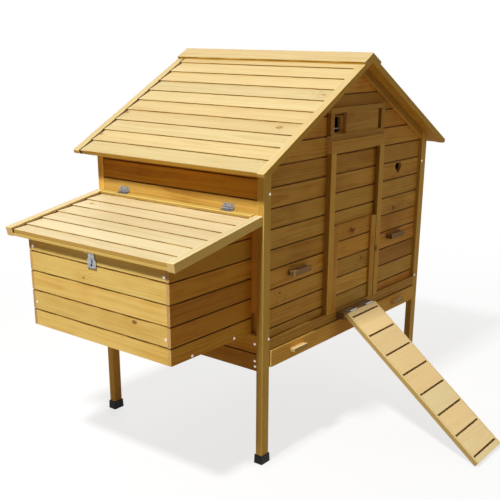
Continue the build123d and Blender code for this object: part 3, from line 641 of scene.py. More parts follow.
@dataclass(frozen=True)
class PineFinish:
    """Stained pine, cut from a log as a solid: rings, fibres, knots, and stain that gathers in the joints.

    Each board has its own place in the log. The distance from the log's heart, bent by slow noise and round
    knots, gives the rings; so faces show long grain and the ends show arcs.
    """

    GIVEN = {"Place": "Vector", "Facing": "Vector", "Seed": "Float", "Cover": "Float", "Groove": "Float",
             "Sky": "Float", "Far": "Float"}
    MADE = {"Colour": "Color", "Roughness": "Float", "Height": "Float"}

    name: str
    early: Colour
    late: Colour
    # Colours of faces that look up: partly sun bleaching, partly painted light on lit tops; the deeper base
    # colours are then painted shade on the other faces.
    sun_early: Optional[Colour] = None
    sun_late: Optional[Colour] = None
    knot: Colour = (0.235, 0.085, 0.020)
    joint: Colour = (0.170, 0.070, 0.010)
    joint_least: float = 0.55
    # Painted shade: a dark line on the boards' far ends, where the side of a raised strip would lie in shade.
    gap: Colour = (0.070, 0.032, 0.008)
    far_shade_lap: float = 7.0 * MILLIMETRE
    end: Colour = (0.86, 0.66, 0.36)
    end_share: float = 0.55
    # Share of the way to white on eased edges: rubbed wear, and a painted highlight where the edges catch the
    # light.
    rub_and_highlight: Colour = (0.45, 0.34, 0.10)
    rubbed_specular: float = 0.04
    # Painted shade: how far faces that look across the boards, such as the sides of the guides, are darkened
    # towards the joint colour.
    edge_shade: float = 0.0
    mottle: float = 1.0
    ring_pitch: float = 5.2 * MILLIMETRE
    ring_strength: float = 0.42
    heart_spread: float = 80 * MILLIMETRE
    heart_depth: float = 28 * MILLIMETRE
    wobble: float = 12 * MILLIMETRE
    knot_spacing: float = 0.21
    knot_share: float = 0.30
    knot_radius: float = 5.5 * MILLIMETRE
    tone_spread: float = 0.26
    hue_spread: float = 0.14
    roughness: float = 0.60
    specular: float = 0.14
    relief: Pair = (0.6, 0.30 * MILLIMETRE)
    figure: PineFigure = PineFigure()

    def paled(self, stain: Colour) -> Colour:
        """A stain rubbed thin, part of the way to white, which on eased edges is also a painted highlight."""
        return tuple(part + share * (1.0 - part) for part, share in zip(stain, self.rub_and_highlight))

    def worn_highlighted(self) -> "PineFinish":
        """The finish of eased edges, where the stain is rubbed thin and paler: wear, and a painted highlight
        on the lit edges.

        Returns:
            The paler finish.
        """
        names = ("early", "late") if self.sun_early is None else ("early", "late", "sun_early", "sun_late")
        paler = {name: self.paled(getattr(self, name)) for name in names}
        return replace(self, name=self.name + "_worn", specular=self.rubbed_specular, **paler)

    def group(self) -> bpy.types.NodeTree:
        """The node group of the finish, made once.

        Returns:
            A group that takes places and facings, and gives colour, roughness and height.
        """
        found = bpy.data.node_groups.get(self.name)
        if found is not None:
            return found
        tree = bpy.data.node_groups.new(self.name, "ShaderNodeTree")
        for way, ports in (("INPUT", self.GIVEN), ("OUTPUT", self.MADE)):
            for title, kind in ports.items():
                tree.interface.new_socket(title, in_out=way, socket_type="NodeSocket" + kind)
        sheet = NodeSheet(tree)
        source = tree.nodes.new("NodeGroupInput").outputs
        target = tree.nodes.new("NodeGroupOutput").inputs
        made = self.write({title: Term(sheet, source[title]) for title in self.GIVEN})
        for title, term in zip(self.MADE, made):
            sheet.feed(target[title], term)
        return tree

    def write(self, given: dict[str, Term]) -> tuple[Term, Term, Term]:
        """Writes the wood's nodes.

        Args:
            given: The group's inputs by name.

        Returns:
            Colour, roughness and height.
        """
        figure, cover = self.figure, given["Cover"]
        sheet = cover.sheet
        along, across, depth = given["Place"].parts()
        course = (across / cover).math("FLOOR")
        rise = across - course * cover
        picked = sheet.joined(course, given["Seed"], figure.draw_plane)
        draws = sheet.node("TexWhiteNoise", {"Vector": picked}, "Color").parts()
        first, second, third = draws
        shifted = along + third * figure.log_length
        board = sheet.joined(shifted, rise + first * figure.log_girth, depth)
        core, rim, swirl = self.knots(board)

        out = rise - figure.heart_rise + first.centred() * self.heart_spread
        deep = depth + (second * figure.heart_sink + self.heart_depth)
        heart = (out ** 2.0 + deep ** 2.0).math("SQRT")
        slow = board.noise(*figure.slow).centred()
        taper = shifted * (third.centred() * figure.taper)
        bent = heart + slow * self.wobble + (taper + swirl * figure.knot_push)
        phase = (bent / self.ring_pitch).math("FRACT")
        ring = phase.step(*figure.ring_rise) * phase.step(*figure.ring_fall)

        noises = (figure.streak, figure.fibre, figure.cloud, figure.blotch)
        streak, fibre, cloud, blotch = (board.noise(*noise) for noise in noises)
        stain, gap = self.joints(given, along, rise, blotch)
        marks = PineMarks(ring, streak, fibre, cloud, blotch, core, rim, swirl, stain, gap)
        rough = fibre.centred() * figure.fibre_roughness + self.roughness
        height = ring * figure.ring_height + fibre * figure.fibre_height - core * figure.core_height
        return self.colour(given, draws, marks), rough, height

    def joints(self, given: dict[str, Term], along: Term, rise: Term, blotch: Term) -> tuple[Term, Term]:
        """Stain that gathers unevenly at the boards' lower edges, which on the ridge boards is a painted
        shadow, and a painted shade line at their far ends.

        Args:
            given: The group's inputs by name.
            along: Distance along the grain.
            rise: Distance from the board's lower edge.
            blotch: Noise that makes the stain uneven.

        Returns:
            The share of the stain and that of the painted shade line, from 0 to 1.
        """
        groove = given["Groove"]
        stain = rise.step(groove * self.figure.joint_core, groove, 1.0, 0.0) * (groove > 0.0)
        uneven = blotch.step(*self.figure.joint_patch, self.joint_least, 1.0)
        lapped = rise / given["Cover"] * self.far_shade_lap + along
        return stain * uneven, lapped > given["Far"]

    def knots(self, board: Term) -> tuple[Term, Term, Term]:
        """Knots scattered over the face: cells of random points, of which some are knots.

        Args:
            board: The place on the board.

        Returns:
            The knot's core, its dark rim and the bent grain about it, each from 0 to 1.
        """
        figure, sheet = self.figure, board.sheet
        cells = 1.0 / self.knot_spacing
        spread = board.stretched((cells * figure.knot_stretch, cells, 0.0))
        made = sheet.add("TexVoronoi", {"Vector": spread, "Scale": 1.0}, voronoi_dimensions="2D").outputs
        chance, size, _ = Term(sheet, made["Color"]).parts()
        uneven = board.noise(*figure.knot_edge).centred() * figure.knot_edge_depth
        near = Term(sheet, made["Distance"]) * self.knot_spacing + uneven
        share = near / ((size + figure.knot_least) * self.knot_radius)
        present = chance < self.knot_share
        core = share.step(*figure.knot_core) * present
        return core, share.step(*figure.knot_rim) * core, near.step(figure.knot_reach, 0.0) * present

    def colour(self, given: dict[str, Term], draws: tuple[Term, ...], marks: PineMarks) -> Term:
        """Mixes the wood's marks, and its painted light and shade, into its colour.

        Args:
            given: The group's inputs by name.
            draws: Three random numbers of the board.
            marks: The marks on the board.

        Returns:
            The colour.
        """
        figure, sheet = self.figure, marks.ring.sheet
        tint = marks.ring * self.ring_strength
        for mark, share in ((marks.streak, figure.streak_share),
                            (marks.cloud, figure.cloud_share * self.mottle),
                            (marks.blotch, figure.blotch_share * self.mottle),
                            (marks.fibre, figure.fibre_share)):
            tint = tint + mark.centred() * share
        tint = tint + marks.swirl * figure.swirl_share
        colour = sheet.blend(tint, self.early, self.late)
        # Upward faces take the sun colours: sun bleaching and painted light.
        if self.sun_early is not None:
            colour = sheet.blend(given["Sky"], colour, sheet.blend(tint, self.sun_early, self.sun_late))
        light = draws[1].centred() * self.tone_spread + 1.0
        warm = draws[2].centred() * self.hue_spread + 1.0
        colour = sheet.blend(1.0, colour, sheet.joined(light, light * warm, light * warm ** 2.0), "MULTIPLY")
        lengthwise, crosswise, _ = given["Facing"].parts()
        # Painted shade on faces that look across the boards.
        edge_shaded = abs(crosswise).step(*figure.edge_shade_facing, 0.0, self.edge_shade)
        sawn = abs(lengthwise).step(*figure.end_facing, 0.0, self.end_share)
        sawn = sawn * (1.0 - marks.ring * figure.end_ring_share)
        for share, tone in ((marks.core * figure.core_share, self.knot),
                            (marks.rim * figure.rim_share, self.joint),
                            (edge_shaded, self.joint), (sawn, self.end),
                            (marks.stain, self.joint), (marks.gap, self.gap)):
            colour = sheet.blend(share, colour, tone)
        return colour

    def material(self, name: str, lay: Lay, seed: float) -> Material:
        """Pine for the timbers of one node.

        Args:
            name: The material's name.
            lay: How the timbers lie.
            seed: Number that picks the boards from the log.

        Returns:
            The material.
        """
        sheet = MaterialSheet(name)
        place, facing, sun_lit = lay.coordinates(sheet)
        inputs = {"Place": place, "Facing": facing, "Seed": seed, "Cover": lay.cover, "Groove": lay.groove,
                  "Sky": sun_lit, "Far": lay.far_shade_start}
        wood = sheet.add("Group", inputs, node_tree=self.group())
        colour, rough, height = (Term(sheet, wood.outputs[title]) for title in self.MADE)
        return sheet.surface(colour, rough, height, self.relief, {"Specular IOR Level": self.specular})

    def cover(self, node: str, lay: Lay, seed: float, ease: float = 0.0) -> None:
        """Dresses a CAD node in this pine.

        Args:
            node: The node's name.
            lay: How its timbers lie.
            seed: Number that picks the boards from the log.
            ease: Width of the eased edges, or nothing for sawn ones.
        """
        face = self.material(node + "_pine", lay, seed)
        dress(node, face)
        if ease > 0.0:
            EasedEdges(node, ease).build(face, self.worn_highlighted().material(node + "_edge_pine", lay, seed))


@dataclass(frozen=True)
class PlyFinish:
    """Thin plywood: pale rotary-cut faces and dark glue lines along the edges."""

    face: Colour = (0.62, 0.42, 0.21)
    dark: Colour = (0.40, 0.23, 0.09)
    ply: float = 2 * MILLIMETRE
    glue: float = 0.4 * MILLIMETRE
    glue_share: float = 0.6
    edge_facing: Pair = (0.6, 0.3)
    waves_across: float = 26.0
    waves_along: float = 3.0
    figure_detail: float = 3.0
    figure_span: Pair = (0.35, 0.75)
    figure_share: float = 0.7
    fibre_ratio: float = 16.0
    fibre_detail: float = 2.0
    fibre_span: Pair = (0.2, 0.8)
    fibre_share: float = 0.15
    roughness: Pair = (0.55, 0.75)
    relief: Pair = (0.4, 0.2 * MILLIMETRE)

    def material(self, name: str, through: Axis, grain: Axis) -> Material:
        """Plywood whose layers are stacked along an axis.

        Args:
            name: The material's name.
            through: The direction through the sheet.
            grain: The direction of the face grain.

        Returns:
            The material.
        """
        sheet = MaterialSheet(name)
        place, facing = sheet.coordinates()
        waves = Vector([self.waves_across] * 3) - grain.vector * (self.waves_across - self.waves_along)
        figure = place.noise(waves, self.figure_detail)
        fibre = place.noise(waves * self.fibre_ratio, self.fibre_detail)
        glue = place.along(through).math("PINGPONG", self.ply).step(0.0, self.glue, self.glue_share, 0.0)
        edge = abs(facing.along(through)).step(*self.edge_facing)
        share = figure.step(*self.figure_span, 0.0, self.figure_share) + fibre * self.fibre_share
        colour = sheet.blend(glue * edge, sheet.blend(share, self.face, self.dark), self.dark)
        return sheet.surface(colour, fibre.step(*self.fibre_span, *self.roughness), fibre, self.relief, {})


@dataclass(frozen=True)
class ZincFinish:
    """Bright zinc plate on pressed steel, with soft mottling and fine rolling lines."""

    bright: Colour = (0.52, 0.525, 0.53)
    dull: Colour = (0.21, 0.215, 0.225)
    roughness: float = 0.20
    spangle: Noise = ((240.0, 240.0, 240.0), 2.0)
    spangle_span: Pair = (0.35, 0.7)
    spangle_roughness: float = 0.18
    lines: Noise = ((120.0, 2600.0, 900.0), 1.0)
    line_roughness: float = 0.12
    relief: Pair = (0.25, 0.05 * MILLIMETRE)

    def material(self, name: str) -> Material:
        """The zinc material.

        Args:
            name: The material's name.

        Returns:
            The material.
        """
        sheet = MaterialSheet(name)
        place, _ = sheet.coordinates()
        mottle = place.noise(*self.spangle).step(*self.spangle_span)
        lines = place.noise(*self.lines)
        rough = mottle * self.spangle_roughness + lines * self.line_roughness + self.roughness
        colour = sheet.blend(mottle, self.bright, self.dull)
        return sheet.surface(colour, rough, lines, self.relief, {"Metallic": 1.0})


@dataclass(frozen=True)
class CapFinish:
    """Black moulded plastic with a fine matt grain and a little dust, most of it low down."""

    black: Colour = (0.008, 0.008, 0.009)
    dust: Colour = (0.026, 0.024, 0.022)
    dust_height: float = 14 * MILLIMETRE
    dust_least: float = 0.25
    patch: Noise = ((45.0, 45.0, 45.0), 3.0)
    patch_span: Pair = (0.35, 0.75)
    grain: Noise = ((1800.0, 1800.0, 1800.0), 2.0)
    grain_span: Pair = (0.2, 0.8)
    roughness: Pair = (0.42, 0.58)
    relief: Pair = (0.3, 0.08 * MILLIMETRE)
    specular: float = 0.16

    def material(self, name: str) -> Material:
        """The plastic material.

        Args:
            name: The material's name.

        Returns:
            The material.
        """
        sheet = MaterialSheet(name)
        place, _ = sheet.coordinates()
        grain = place.noise(*self.grain)
        low = place.along(Axis.UP).step(self.dust_height, 0.0)
        share = place.noise(*self.patch).step(*self.patch_span) * (low + self.dust_least)
        rough = grain.step(*self.grain_span, *self.roughness)
        colour = sheet.blend(share, self.black, self.dust)
        return sheet.surface(colour, rough, grain, self.relief, {"Specular IOR Level": self.specular})


class Stains:
    """The finishes that the whole coop shares."""

    wall = PineFinish("wall_pine", early=(0.715, 0.374, 0.063), late=(0.490, 0.204, 0.024), edge_shade=0.35,
                      mottle=2.8, ring_strength=0.5, tone_spread=0.36, hue_spread=0.20)
    door = replace(wall, name="door_pine", early=(0.800, 0.440, 0.078), late=(0.580, 0.268, 0.034))
    shutter = replace(wall, name="shutter_pine", early=(0.600, 0.310, 0.052), late=(0.430, 0.180, 0.021))
    post = replace(wall, name="post_pine", early=(0.840, 0.500, 0.105), late=(0.640, 0.330, 0.052), edge_shade=0.0)
    # Painted light: a paler copy for the front posts, the guides and the tray front, for the light that their
    # front faces catch.
    corner = replace(wall, name="corner_pine", early=(0.970, 0.560, 0.105), late=(0.800, 0.400, 0.052))
    # The guides: the paler corner copy, with stronger painted shade on their sides.
    guide = replace(corner, name="guide_pine", edge_shade=0.65)
    # Painted shade: a darker, deeper copy of the wall stain for faces in shade, the side walls and the nest
    # box's sides.
    side = replace(wall, name="side_pine", early=(0.690, 0.325, 0.034), late=(0.490, 0.185, 0.012))
    # Painted shade: a darker stain for the left wall above the lid, which lies under the eave's shadow; its
    # sun colours paint light on the lowest course.
    eave = replace(wall, name="eave_pine", early=(0.560, 0.240, 0.012), late=(0.380, 0.135, 0.005),
                   sun_early=(0.700, 0.435, 0.095), sun_late=(0.520, 0.270, 0.042))
    # Painted light: a much paler copy for the lit nest front, on the same box as the darker sides.
    nest = replace(wall, name="nest_pine", early=(0.955, 0.685, 0.212), late=(0.810, 0.505, 0.110),
                   joint=(0.240, 0.115, 0.018), end=(0.800, 0.520, 0.150), tone_spread=0.16, hue_spread=0.08,
                   edge_shade=0.0)
    # Painted shade: a dark greyish stain with near-black ends for the carry handles and the ramp ledger,
    # which lie in shade under the roof.
    shade_painted = replace(wall, name="weathered_pine", early=(0.400, 0.270, 0.125), late=(0.260, 0.160, 0.065),
                        end=(0.100, 0.062, 0.028), end_share=0.85)
    roof = PineFinish("roof_pine", early=(0.765, 0.450, 0.072), late=(0.585, 0.295, 0.033),
                      sun_early=(0.610, 0.470, 0.222), sun_late=(0.482, 0.325, 0.114), ring_strength=0.34,
                      joint=(0.260, 0.140, 0.012), joint_least=0.4, knot=(0.350, 0.185, 0.045),
                      knot_share=0.16, tone_spread=0.13, hue_spread=0.06)
    lid = replace(roof, name="lid_pine", early=(0.800, 0.505, 0.125), late=(0.640, 0.350, 0.062),
                  sun_early=(0.650, 0.530, 0.300), sun_late=(0.530, 0.388, 0.172))
    strip = replace(lid, name="strip_pine", early=(0.990, 0.680, 0.190), late=(0.860, 0.530, 0.110))
    rail = replace(lid, name="rail_pine", early=(0.550, 0.370, 0.100), late=(0.430, 0.265, 0.058),
                   sun_early=(0.500, 0.360, 0.085), sun_late=(0.400, 0.260, 0.048))
    # Painted light: the ramp's sun colours are far paler than its base colours, for its lit top.
    ramp = replace(roof, name="ramp_pine", early=(0.660, 0.455, 0.150), late=(0.520, 0.320, 0.080),
                   sun_early=(0.980, 0.765, 0.385), sun_late=(0.900, 0.635, 0.265),
                   joint=(0.160, 0.070, 0.012), joint_least=0.85, tone_spread=0.16, hue_spread=0.10)
    ply = PlyFinish()
    zinc = ZincFinish()
    nickel = ZincFinish(bright=(0.86, 0.81, 0.72), dull=(0.62, 0.58, 0.51), roughness=0.28)
    steel = ZincFinish(bright=(0.24, 0.24, 0.25), dull=(0.10, 0.10, 0.105), roughness=0.32)
    caps = CapFinish()


@dataclass(frozen=True)
class ScrewHead:
    """A cross-recessed screw head: a dome over (radius, angle), sunk along two crossed slots."""

    radius: float = 4.4 * MILLIMETRE
    height: float = 1.6 * MILLIMETRE
    seat: float = 0.2 * MILLIMETRE
    fall: float = 0.9
    slot_width: float = 0.80 * MILLIMETRE
    slot_flank: float = 1.6
    slot_reach: float = 0.62
    slot_end: float = 4.0
    slot_depth: float = 1.1 * MILLIMETRE
    rows: int = 8
    turns: int = 32

    def shape(self) -> Shape:
        """The head on the plane z = 0, with its dome upwards and its foot a little sunk.

        Height is h * sqrt(1 - fall * s^2) at the share s of the radius, less the slot depth where one
        coordinate is inside the slot's half width and the other inside its reach.

        Returns:
            The closed head.
        """
        turn = np.linspace(0.0, 2 * pi, self.turns, endpoint=False)
        share = np.linspace(1.0, 1.0 / self.rows, self.rows)[:, None]
        x = self.radius * share * np.cos(turn)
        y = self.radius * share * np.sin(turn)
        dome = self.height * np.sqrt(1.0 - self.fall * share ** 2)
        reach = self.slot_reach * self.radius
        sunk = [np.clip(self.slot_flank * (1.0 - np.abs(p) / self.slot_width), 0, 1)
                * np.clip(self.slot_end * (1.0 - np.abs(q) / reach), 0, 1) for p, q in ((x, y), (y, x))]
        z = dome - self.slot_depth * np.maximum(*sunk)
        rim = np.stack([x[0], y[0], np.full(self.turns, -self.seat)], axis=-1)[None]
        rings = np.concatenate([rim, np.stack([x, y, z], axis=-1)])
        return Shape.ringed(rings, (0.0, 0.0, -self.seat), (0.0, 0.0, self.height - self.slot_depth))


@dataclass
class Coop:
    """Sizes that several sub-assemblies share, places read from the frame, and the metals."""

    board_cover: float = 63.5 * MILLIMETRE
    groove: float = 4.6 * MILLIMETRE
    chamfer: float = 1.5 * MILLIMETRE
    joint_start: float = 0.4 * MILLIMETRE
    first_course: float = 27.5 * MILLIMETRE
    lap_line: float = 1.2 * MILLIMETRE
    far_shade_width: float = 6.0 * MILLIMETRE
    timber_stretch: float = 300 * MILLIMETRE
    margin: float = 2 * MILLIMETRE
    roof_pitch: float = radians(28.6)
    lid_slope: float = radians(9.9)
    screw_spin: float = 0.7
    middle: float = field(init=False)
    corner: Vector = field(init=False)
    zinc: Material = field(init=False)
    nickel: Material = field(init=False)
    steel: Material = field(init=False)

    def __post_init__(self) -> None:
        """Reads the corner of the front left post and the middle plane, and makes the metals."""
        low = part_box("post_front_left")[0]
        self.corner = Vector((low.x, low.y, 0.0))
        self.middle = (self.corner.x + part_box("post_front_right")[1].x) / 2
        self.zinc = Stains.zinc.material("fitting_zinc")
        self.nickel = Stains.nickel.material("screw_nickel")
        self.steel = Stains.steel.material("screw_steel")

    def at(self, places: Sequence[Triple]) -> np.ndarray:
        """Points in the frame, from millimetres off the front left post's outer corner on the ground."""
        return np.asarray(places) * MILLIMETRE + np.array(self.corner)

    def up_roof(self, side: float) -> Vector:
        """The way up the roof, on its left slope for a side of 1 and on its right slope for -1."""
        return Vector((side * cos(self.roof_pitch), 0.0, sin(self.roof_pitch)))

    def boards(self, along: Axis, joint_z: float, face: Vector) -> Lay:
        """Level wall boards that run along an axis, with a joint at joint_z."""
        origin = Vector((face.x, face.y, joint_z - self.chamfer))
        return Lay(along.vector, Axis.UP.vector, origin, self.board_cover, self.groove)

    def lapped(self, node: str, up_slope: Vector, first_cover: float, butt: float) -> Lay:
        """Lapped boards of a node, which run from front to back and follow each other up a slope.

        Args:
            node: The node's name.
            up_slope: The way up the slope.
            first_cover: Distance from the lowest edge to the second board.
            butt: Thickness of the boards at their lower edges.

        Returns:
            Their lay.
        """
        low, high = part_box(node)
        eave = Vector((low.x if up_slope.x > 0 else high.x, low.y, low.z + butt * abs(up_slope.x)))
        start = eave + up_slope * (first_cover - self.joint_start)
        # A painted shade line along the boards' far ends, beside the raised strip.
        far_shade_start = high.y - low.y - self.far_shade_width
        return Lay(Axis.BACK.vector, up_slope, start, self.board_cover, self.lap_line, far_shade_start=far_shade_start)

    def timber(self, node: str, along: Axis, across: Axis, cover: float = BEYOND) -> Lay:
        """Single timbers of a node.

        Args:
            node: The node's name.
            along: The way that they run.
            across: The way from one to the next.
            cover: A stretch across that holds one timber.

        Returns:
            Their lay, which starts a margin before the first.
        """
        low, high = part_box(node)
        middle = (low + high) / 2
        edge = Vector(low[i] if across.value[i] else middle[i] for i in range(3))
        return Lay(along.vector, across.vector, edge - across.vector * self.margin, cover)

    def plain(self, stain: PineFinish, node: str, along: Axis, across: Axis, seed: float, ease: float = 0.0,
              cover: float = BEYOND) -> None:
        """Dresses the single timbers of a node in a stain."""
        stain.cover(node, self.timber(node, along, across, cover), seed, ease)

    def sloped(self, node: str, along: Vector, across: Axis, cover: float,
               band: Optional[Band] = None) -> Lay:
        """Timbers of a node that run up a slope.

        Args:
            node: The node's name.
            along: The way that they run.
            across: The way from one to the next.
            cover: A stretch across that holds one timber.
            band: Where they run another way.

        Returns:
            Their lay, which starts a margin before the first.
        """
        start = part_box(node)[0] - across.vector * self.margin
        return Lay(along, across.vector, start, cover, band=band)

    def gabled(self, node: str) -> Lay:
        """Timbers of a node that run up both slopes of the roof to its middle."""
        lay = self.sloped(node, self.up_roof(-1.0), Axis.BACK, self.timber_stretch)
        return replace(lay, origin=Vector((0.0, *lay.origin.yz)), mirrored_at=self.middle)

    def screws(self, name: str, places: Sequence[Triple], outward: Vector, body: Body = Body.FRAME,
               head: ScrewHead = ScrewHead(), dark: bool = False) -> None:
        """Sets screws on a face.

        Args:
            name: The piece's name.
            places: Millimetres off the front left post's outer corner on the ground.
            outward: The way the face looks.
            body: The body that carries the face.
            head: The form of the heads.
            dark: Whether the heads are of dark steel instead of bright plate.
        """
        metal = self.steel if dark else self.nickel
        head.shape().placed(self.at(places), outward, self.screw_spin).piece(name, metal, body, Slot.ZINC)


@dataclass
class Posts:
    """The four posts, their caps and the screws that hold the front frame to them."""

    coop: Coop
    nodes: tuple[str, ...] = ("post_front_left", "post_front_right", "post_rear_left", "post_rear_right")
    ease: float = 2.2 * MILLIMETRE
    cap_ease: float = 1.0 * MILLIMETRE
    first_seed: float = 0.31
    front_screws: Places = ((29.0, 0.0, 885.0), (31.0, 0.0, 428.5),
                            (994.0, 0.0, 882.0), (999.0, 0.0, 428.0))

    def build(self) -> None:
        """Dresses the posts and caps, and sets the screws in the front faces."""
        for number, node in enumerate(self.nodes):
            # The front posts take the paler corner copy as painted light; the rear posts, in shade, keep the
            # post stain.
            stain = Stains.corner if "front" in node else Stains.post
            self.coop.plain(stain, node, Axis.UP, Axis.RIGHT, number + self.first_seed, self.ease)
        plastic = Stains.caps.material("cap_plastic")
        dress("foot_caps", plastic)
        EasedEdges("foot_caps", self.cap_ease, Slot.PLASTIC).build(plastic, plastic)
        self.coop.screws("post_screws", self.front_screws, -Axis.BACK.vector)


@dataclass
class Walls:
    """Front, rear and side walls with their rails, stiles and gable battens."""

    coop: Coop
    sill_course: float = 67.0 * MILLIMETRE
    side_course: float = 35.9 * MILLIMETRE
    rail_ease: float = 1.6 * MILLIMETRE
    batten_ease: float = 1.2 * MILLIMETRE
    front_nodes: tuple[str, ...] = ("front_wall_left_boards", "front_wall_right_boards", "front_gable_boards",
                                    "front_heart_board", "front_vent_board")
    front_seed: float = 3.17
    left_screws: Places = ((3.0, 33.0, 412.0), (3.0, 33.0, 355.0), (3.0, 31.5, 337.0),
                           (3.0, 683.0, 412.0), (3.0, 683.0, 355.0), (3.0, 684.0, 337.0))

    def build(self) -> None:
        """Dresses every wall timber with its grain and courses."""
        coop = self.coop
        joint_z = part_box("front_rail")[1].z + coop.first_course
        for number, node in enumerate(self.front_nodes):
            lay = coop.boards(Axis.RIGHT, joint_z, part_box(node)[0])
            Stains.wall.cover(node, lay, number + self.front_seed)
        rear = coop.boards(Axis.RIGHT, joint_z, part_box("rear_wall_boards")[1])
        Stains.wall.cover("rear_wall_boards", rear, seed=9.4)
        sill_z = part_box("left_wall_lower_boards")[1].z - self.sill_course
        side_z = self.hinge_height() + self.side_course
        for node, low, stain, seed in (("left_wall_lower_boards", sill_z, Stains.side, 11.2),
                                       ("left_wall_upper_boards", side_z, Stains.eave, 12.6),
                                       ("right_wall_boards", side_z, Stains.side, 13.9)):
            lay = coop.boards(Axis.BACK, low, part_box(node)[0])
            # Below the first joint over the hinge the boards take their sun colours: painted light, which
            # shows only in the eave stain.
            stain.cover(node, replace(lay, painted_lit_below=side_z), seed)
        for node, seed in (("front_rail", 15.1), ("rear_rail", 16.1)):
            coop.plain(Stains.wall, node, Axis.RIGHT, Axis.UP, seed, self.rail_ease)
        coop.plain(Stains.wall, "side_wall_stiles", Axis.UP, Axis.BACK, seed=17.3, cover=coop.timber_stretch)
        for node, seed, ease in (("gable_battens", 18.2, self.batten_ease), ("roof_battens", 18.8, 0.0)):
            Stains.wall.cover(node, coop.gabled(node), seed, ease)
        coop.screws("left_wall_screws", self.left_screws, -Axis.RIGHT.vector)

    def hinge_height(self) -> float:
        """Height of the lid's hinge axis."""
        return next(j["pos_m"][2] for j in frame["joints"] if j["name"] == "lid_hinge")


@dataclass
class PopDoor:
    """The sliding door in its guides, with a turned knob whose profile is in millimetres."""

    coop: Coop
    top_course: float = 59.5 * MILLIMETRE
    stretch: float = 200 * MILLIMETRE
    ease: float = 1.4 * MILLIMETRE
    knob_seed: float = 25.9
    knob_steps: int = 48
    knob_heights: tuple[float, ...] = (0.0, 1.2, 2.6, 4.8, 7.0, 8.8, 10.8, 13.2, 15.6, 17.4, 18.5, 19.0)
    knob_radii: tuple[float, ...] = (7.6, 7.7, 6.4, 5.4, 5.7, 7.4, 9.7, 10.9, 10.3, 8.3, 5.6, 2.2)

    def build(self) -> None:
        """Dresses guides, lintel and door, and turns the knob."""
        coop = self.coop
        low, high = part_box("door_boards")
        boards = coop.boards(Axis.RIGHT, high.z - self.top_course, low)
        coop.plain(Stains.guide, "door_guides", Axis.UP, Axis.RIGHT, seed=21.4, ease=self.ease,
                   cover=self.stretch)
        coop.plain(Stains.wall, "door_lintel", Axis.RIGHT, Axis.UP, seed=22.8, ease=self.ease)
        Stains.door.cover("door_boards", boards, seed=26.5)
        coop.plain(Stains.door, "door_stiles", Axis.UP, Axis.RIGHT, seed=24.7, ease=self.ease,
                   cover=self.stretch)
        self.knob()

    def knob(self) -> None:
        """Turns the knob, a waisted neck and a full head: a cubic joins each listed radius to the next."""
        low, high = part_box("door_knob")
        lay = self.coop.timber("door_knob", Axis.BACK, Axis.UP)
        Stains.wall.cover("door_knob", lay, self.knob_seed)
        known, r = np.array(self.knob_heights), np.array(self.knob_radii)
        height = np.linspace(known[0], known[-1], self.knob_steps)
        slope = np.gradient(r, known)
        place = np.clip(np.searchsorted(known, height, side="right") - 1, 0, len(known) - 2)
        span = known[place + 1] - known[place]
        t = (height - known[place]) / span
        radius = ((1 + 2 * t) * (1 - t) ** 2 * r[place] + t ** 2 * (3 - 2 * t) * r[place + 1]
                  + span * (t * (1 - t) ** 2 * slope[place] - t ** 2 * (1 - t) * slope[place + 1]))
        turned = Shape.turned(radius * MILLIMETRE, height * MILLIMETRE, self.knob_steps)
        foot = np.array([[(low.x + high.x) / 2, high.y, (low.z + high.z) / 2]])
        material = Stains.wall.material("turned_knob_pine", lay, self.knob_seed)
        piece = turned.placed(foot, -Axis.BACK.vector).piece("turned_knob", material, Body.DOOR, Slot.PINE)
        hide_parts("door_knob")


@dataclass
class Vent:
    """The batten frame, the shutter that slides in it and the guard bar, with the carrying handles beside."""

    coop: Coop
    batten: float = 19 * MILLIMETRE
    top_batten: float = 16 * MILLIMETRE
    ease: float = 1.3 * MILLIMETRE
    handle_ease: float = 2.2 * MILLIMETRE

    def build(self) -> None:
        """Dresses the frame, with upright grain in its two side battens, and what goes with it."""
        coop = self.coop
        low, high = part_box("vent_frame")
        band = Band(Axis.UP, low.z + self.batten, high.z - self.top_batten, Axis.UP.vector, Axis.RIGHT.vector)
        lay = Lay(Axis.RIGHT.vector, Axis.UP.vector, low, band=band)
        Stains.wall.cover("vent_frame", lay, seed=27.3, ease=self.ease)
        coop.plain(Stains.shutter, "vent_shutter", Axis.RIGHT, Axis.UP, seed=28.1)
        dress("vent_bar", coop.steel)
        # The carry handles take the painted-shade stain.
        coop.plain(Stains.shade_painted, "carry_handles", Axis.RIGHT, Axis.UP, seed=29.2, ease=self.handle_ease)


@dataclass
class Roof:
    """Lapped boards on both slopes, barge strips and ridge boards."""

    coop: Coop
    first_cover: float = 64 * MILLIMETRE
    butt: float = 14 * MILLIMETRE
    ridge_shadow_line: float = 4.5 * MILLIMETRE
    ease: float = 1.8 * MILLIMETRE

    def build(self) -> None:
        """Dresses the slopes with one board for each lap."""
        coop = self.coop
        for node, side, seed in (("roof_left_boards", 1.0, 31.7), ("roof_right_boards", -1.0, 33.3)):
            lay = coop.lapped(node, coop.up_roof(side), self.first_cover, self.butt)
            Stains.roof.cover(node, lay, seed)
        Stains.roof.cover("barge_strips", coop.gabled("barge_strips"), seed=35.5, ease=self.ease)
        # Painted shadow: a dark line along the lower edge of the ridge boards.
        ridge = replace(coop.timber("ridge_boards", Axis.BACK, Axis.RIGHT), groove=self.ridge_shadow_line)
        Stains.roof.cover("ridge_boards", ridge, seed=36.1, ease=self.ease)


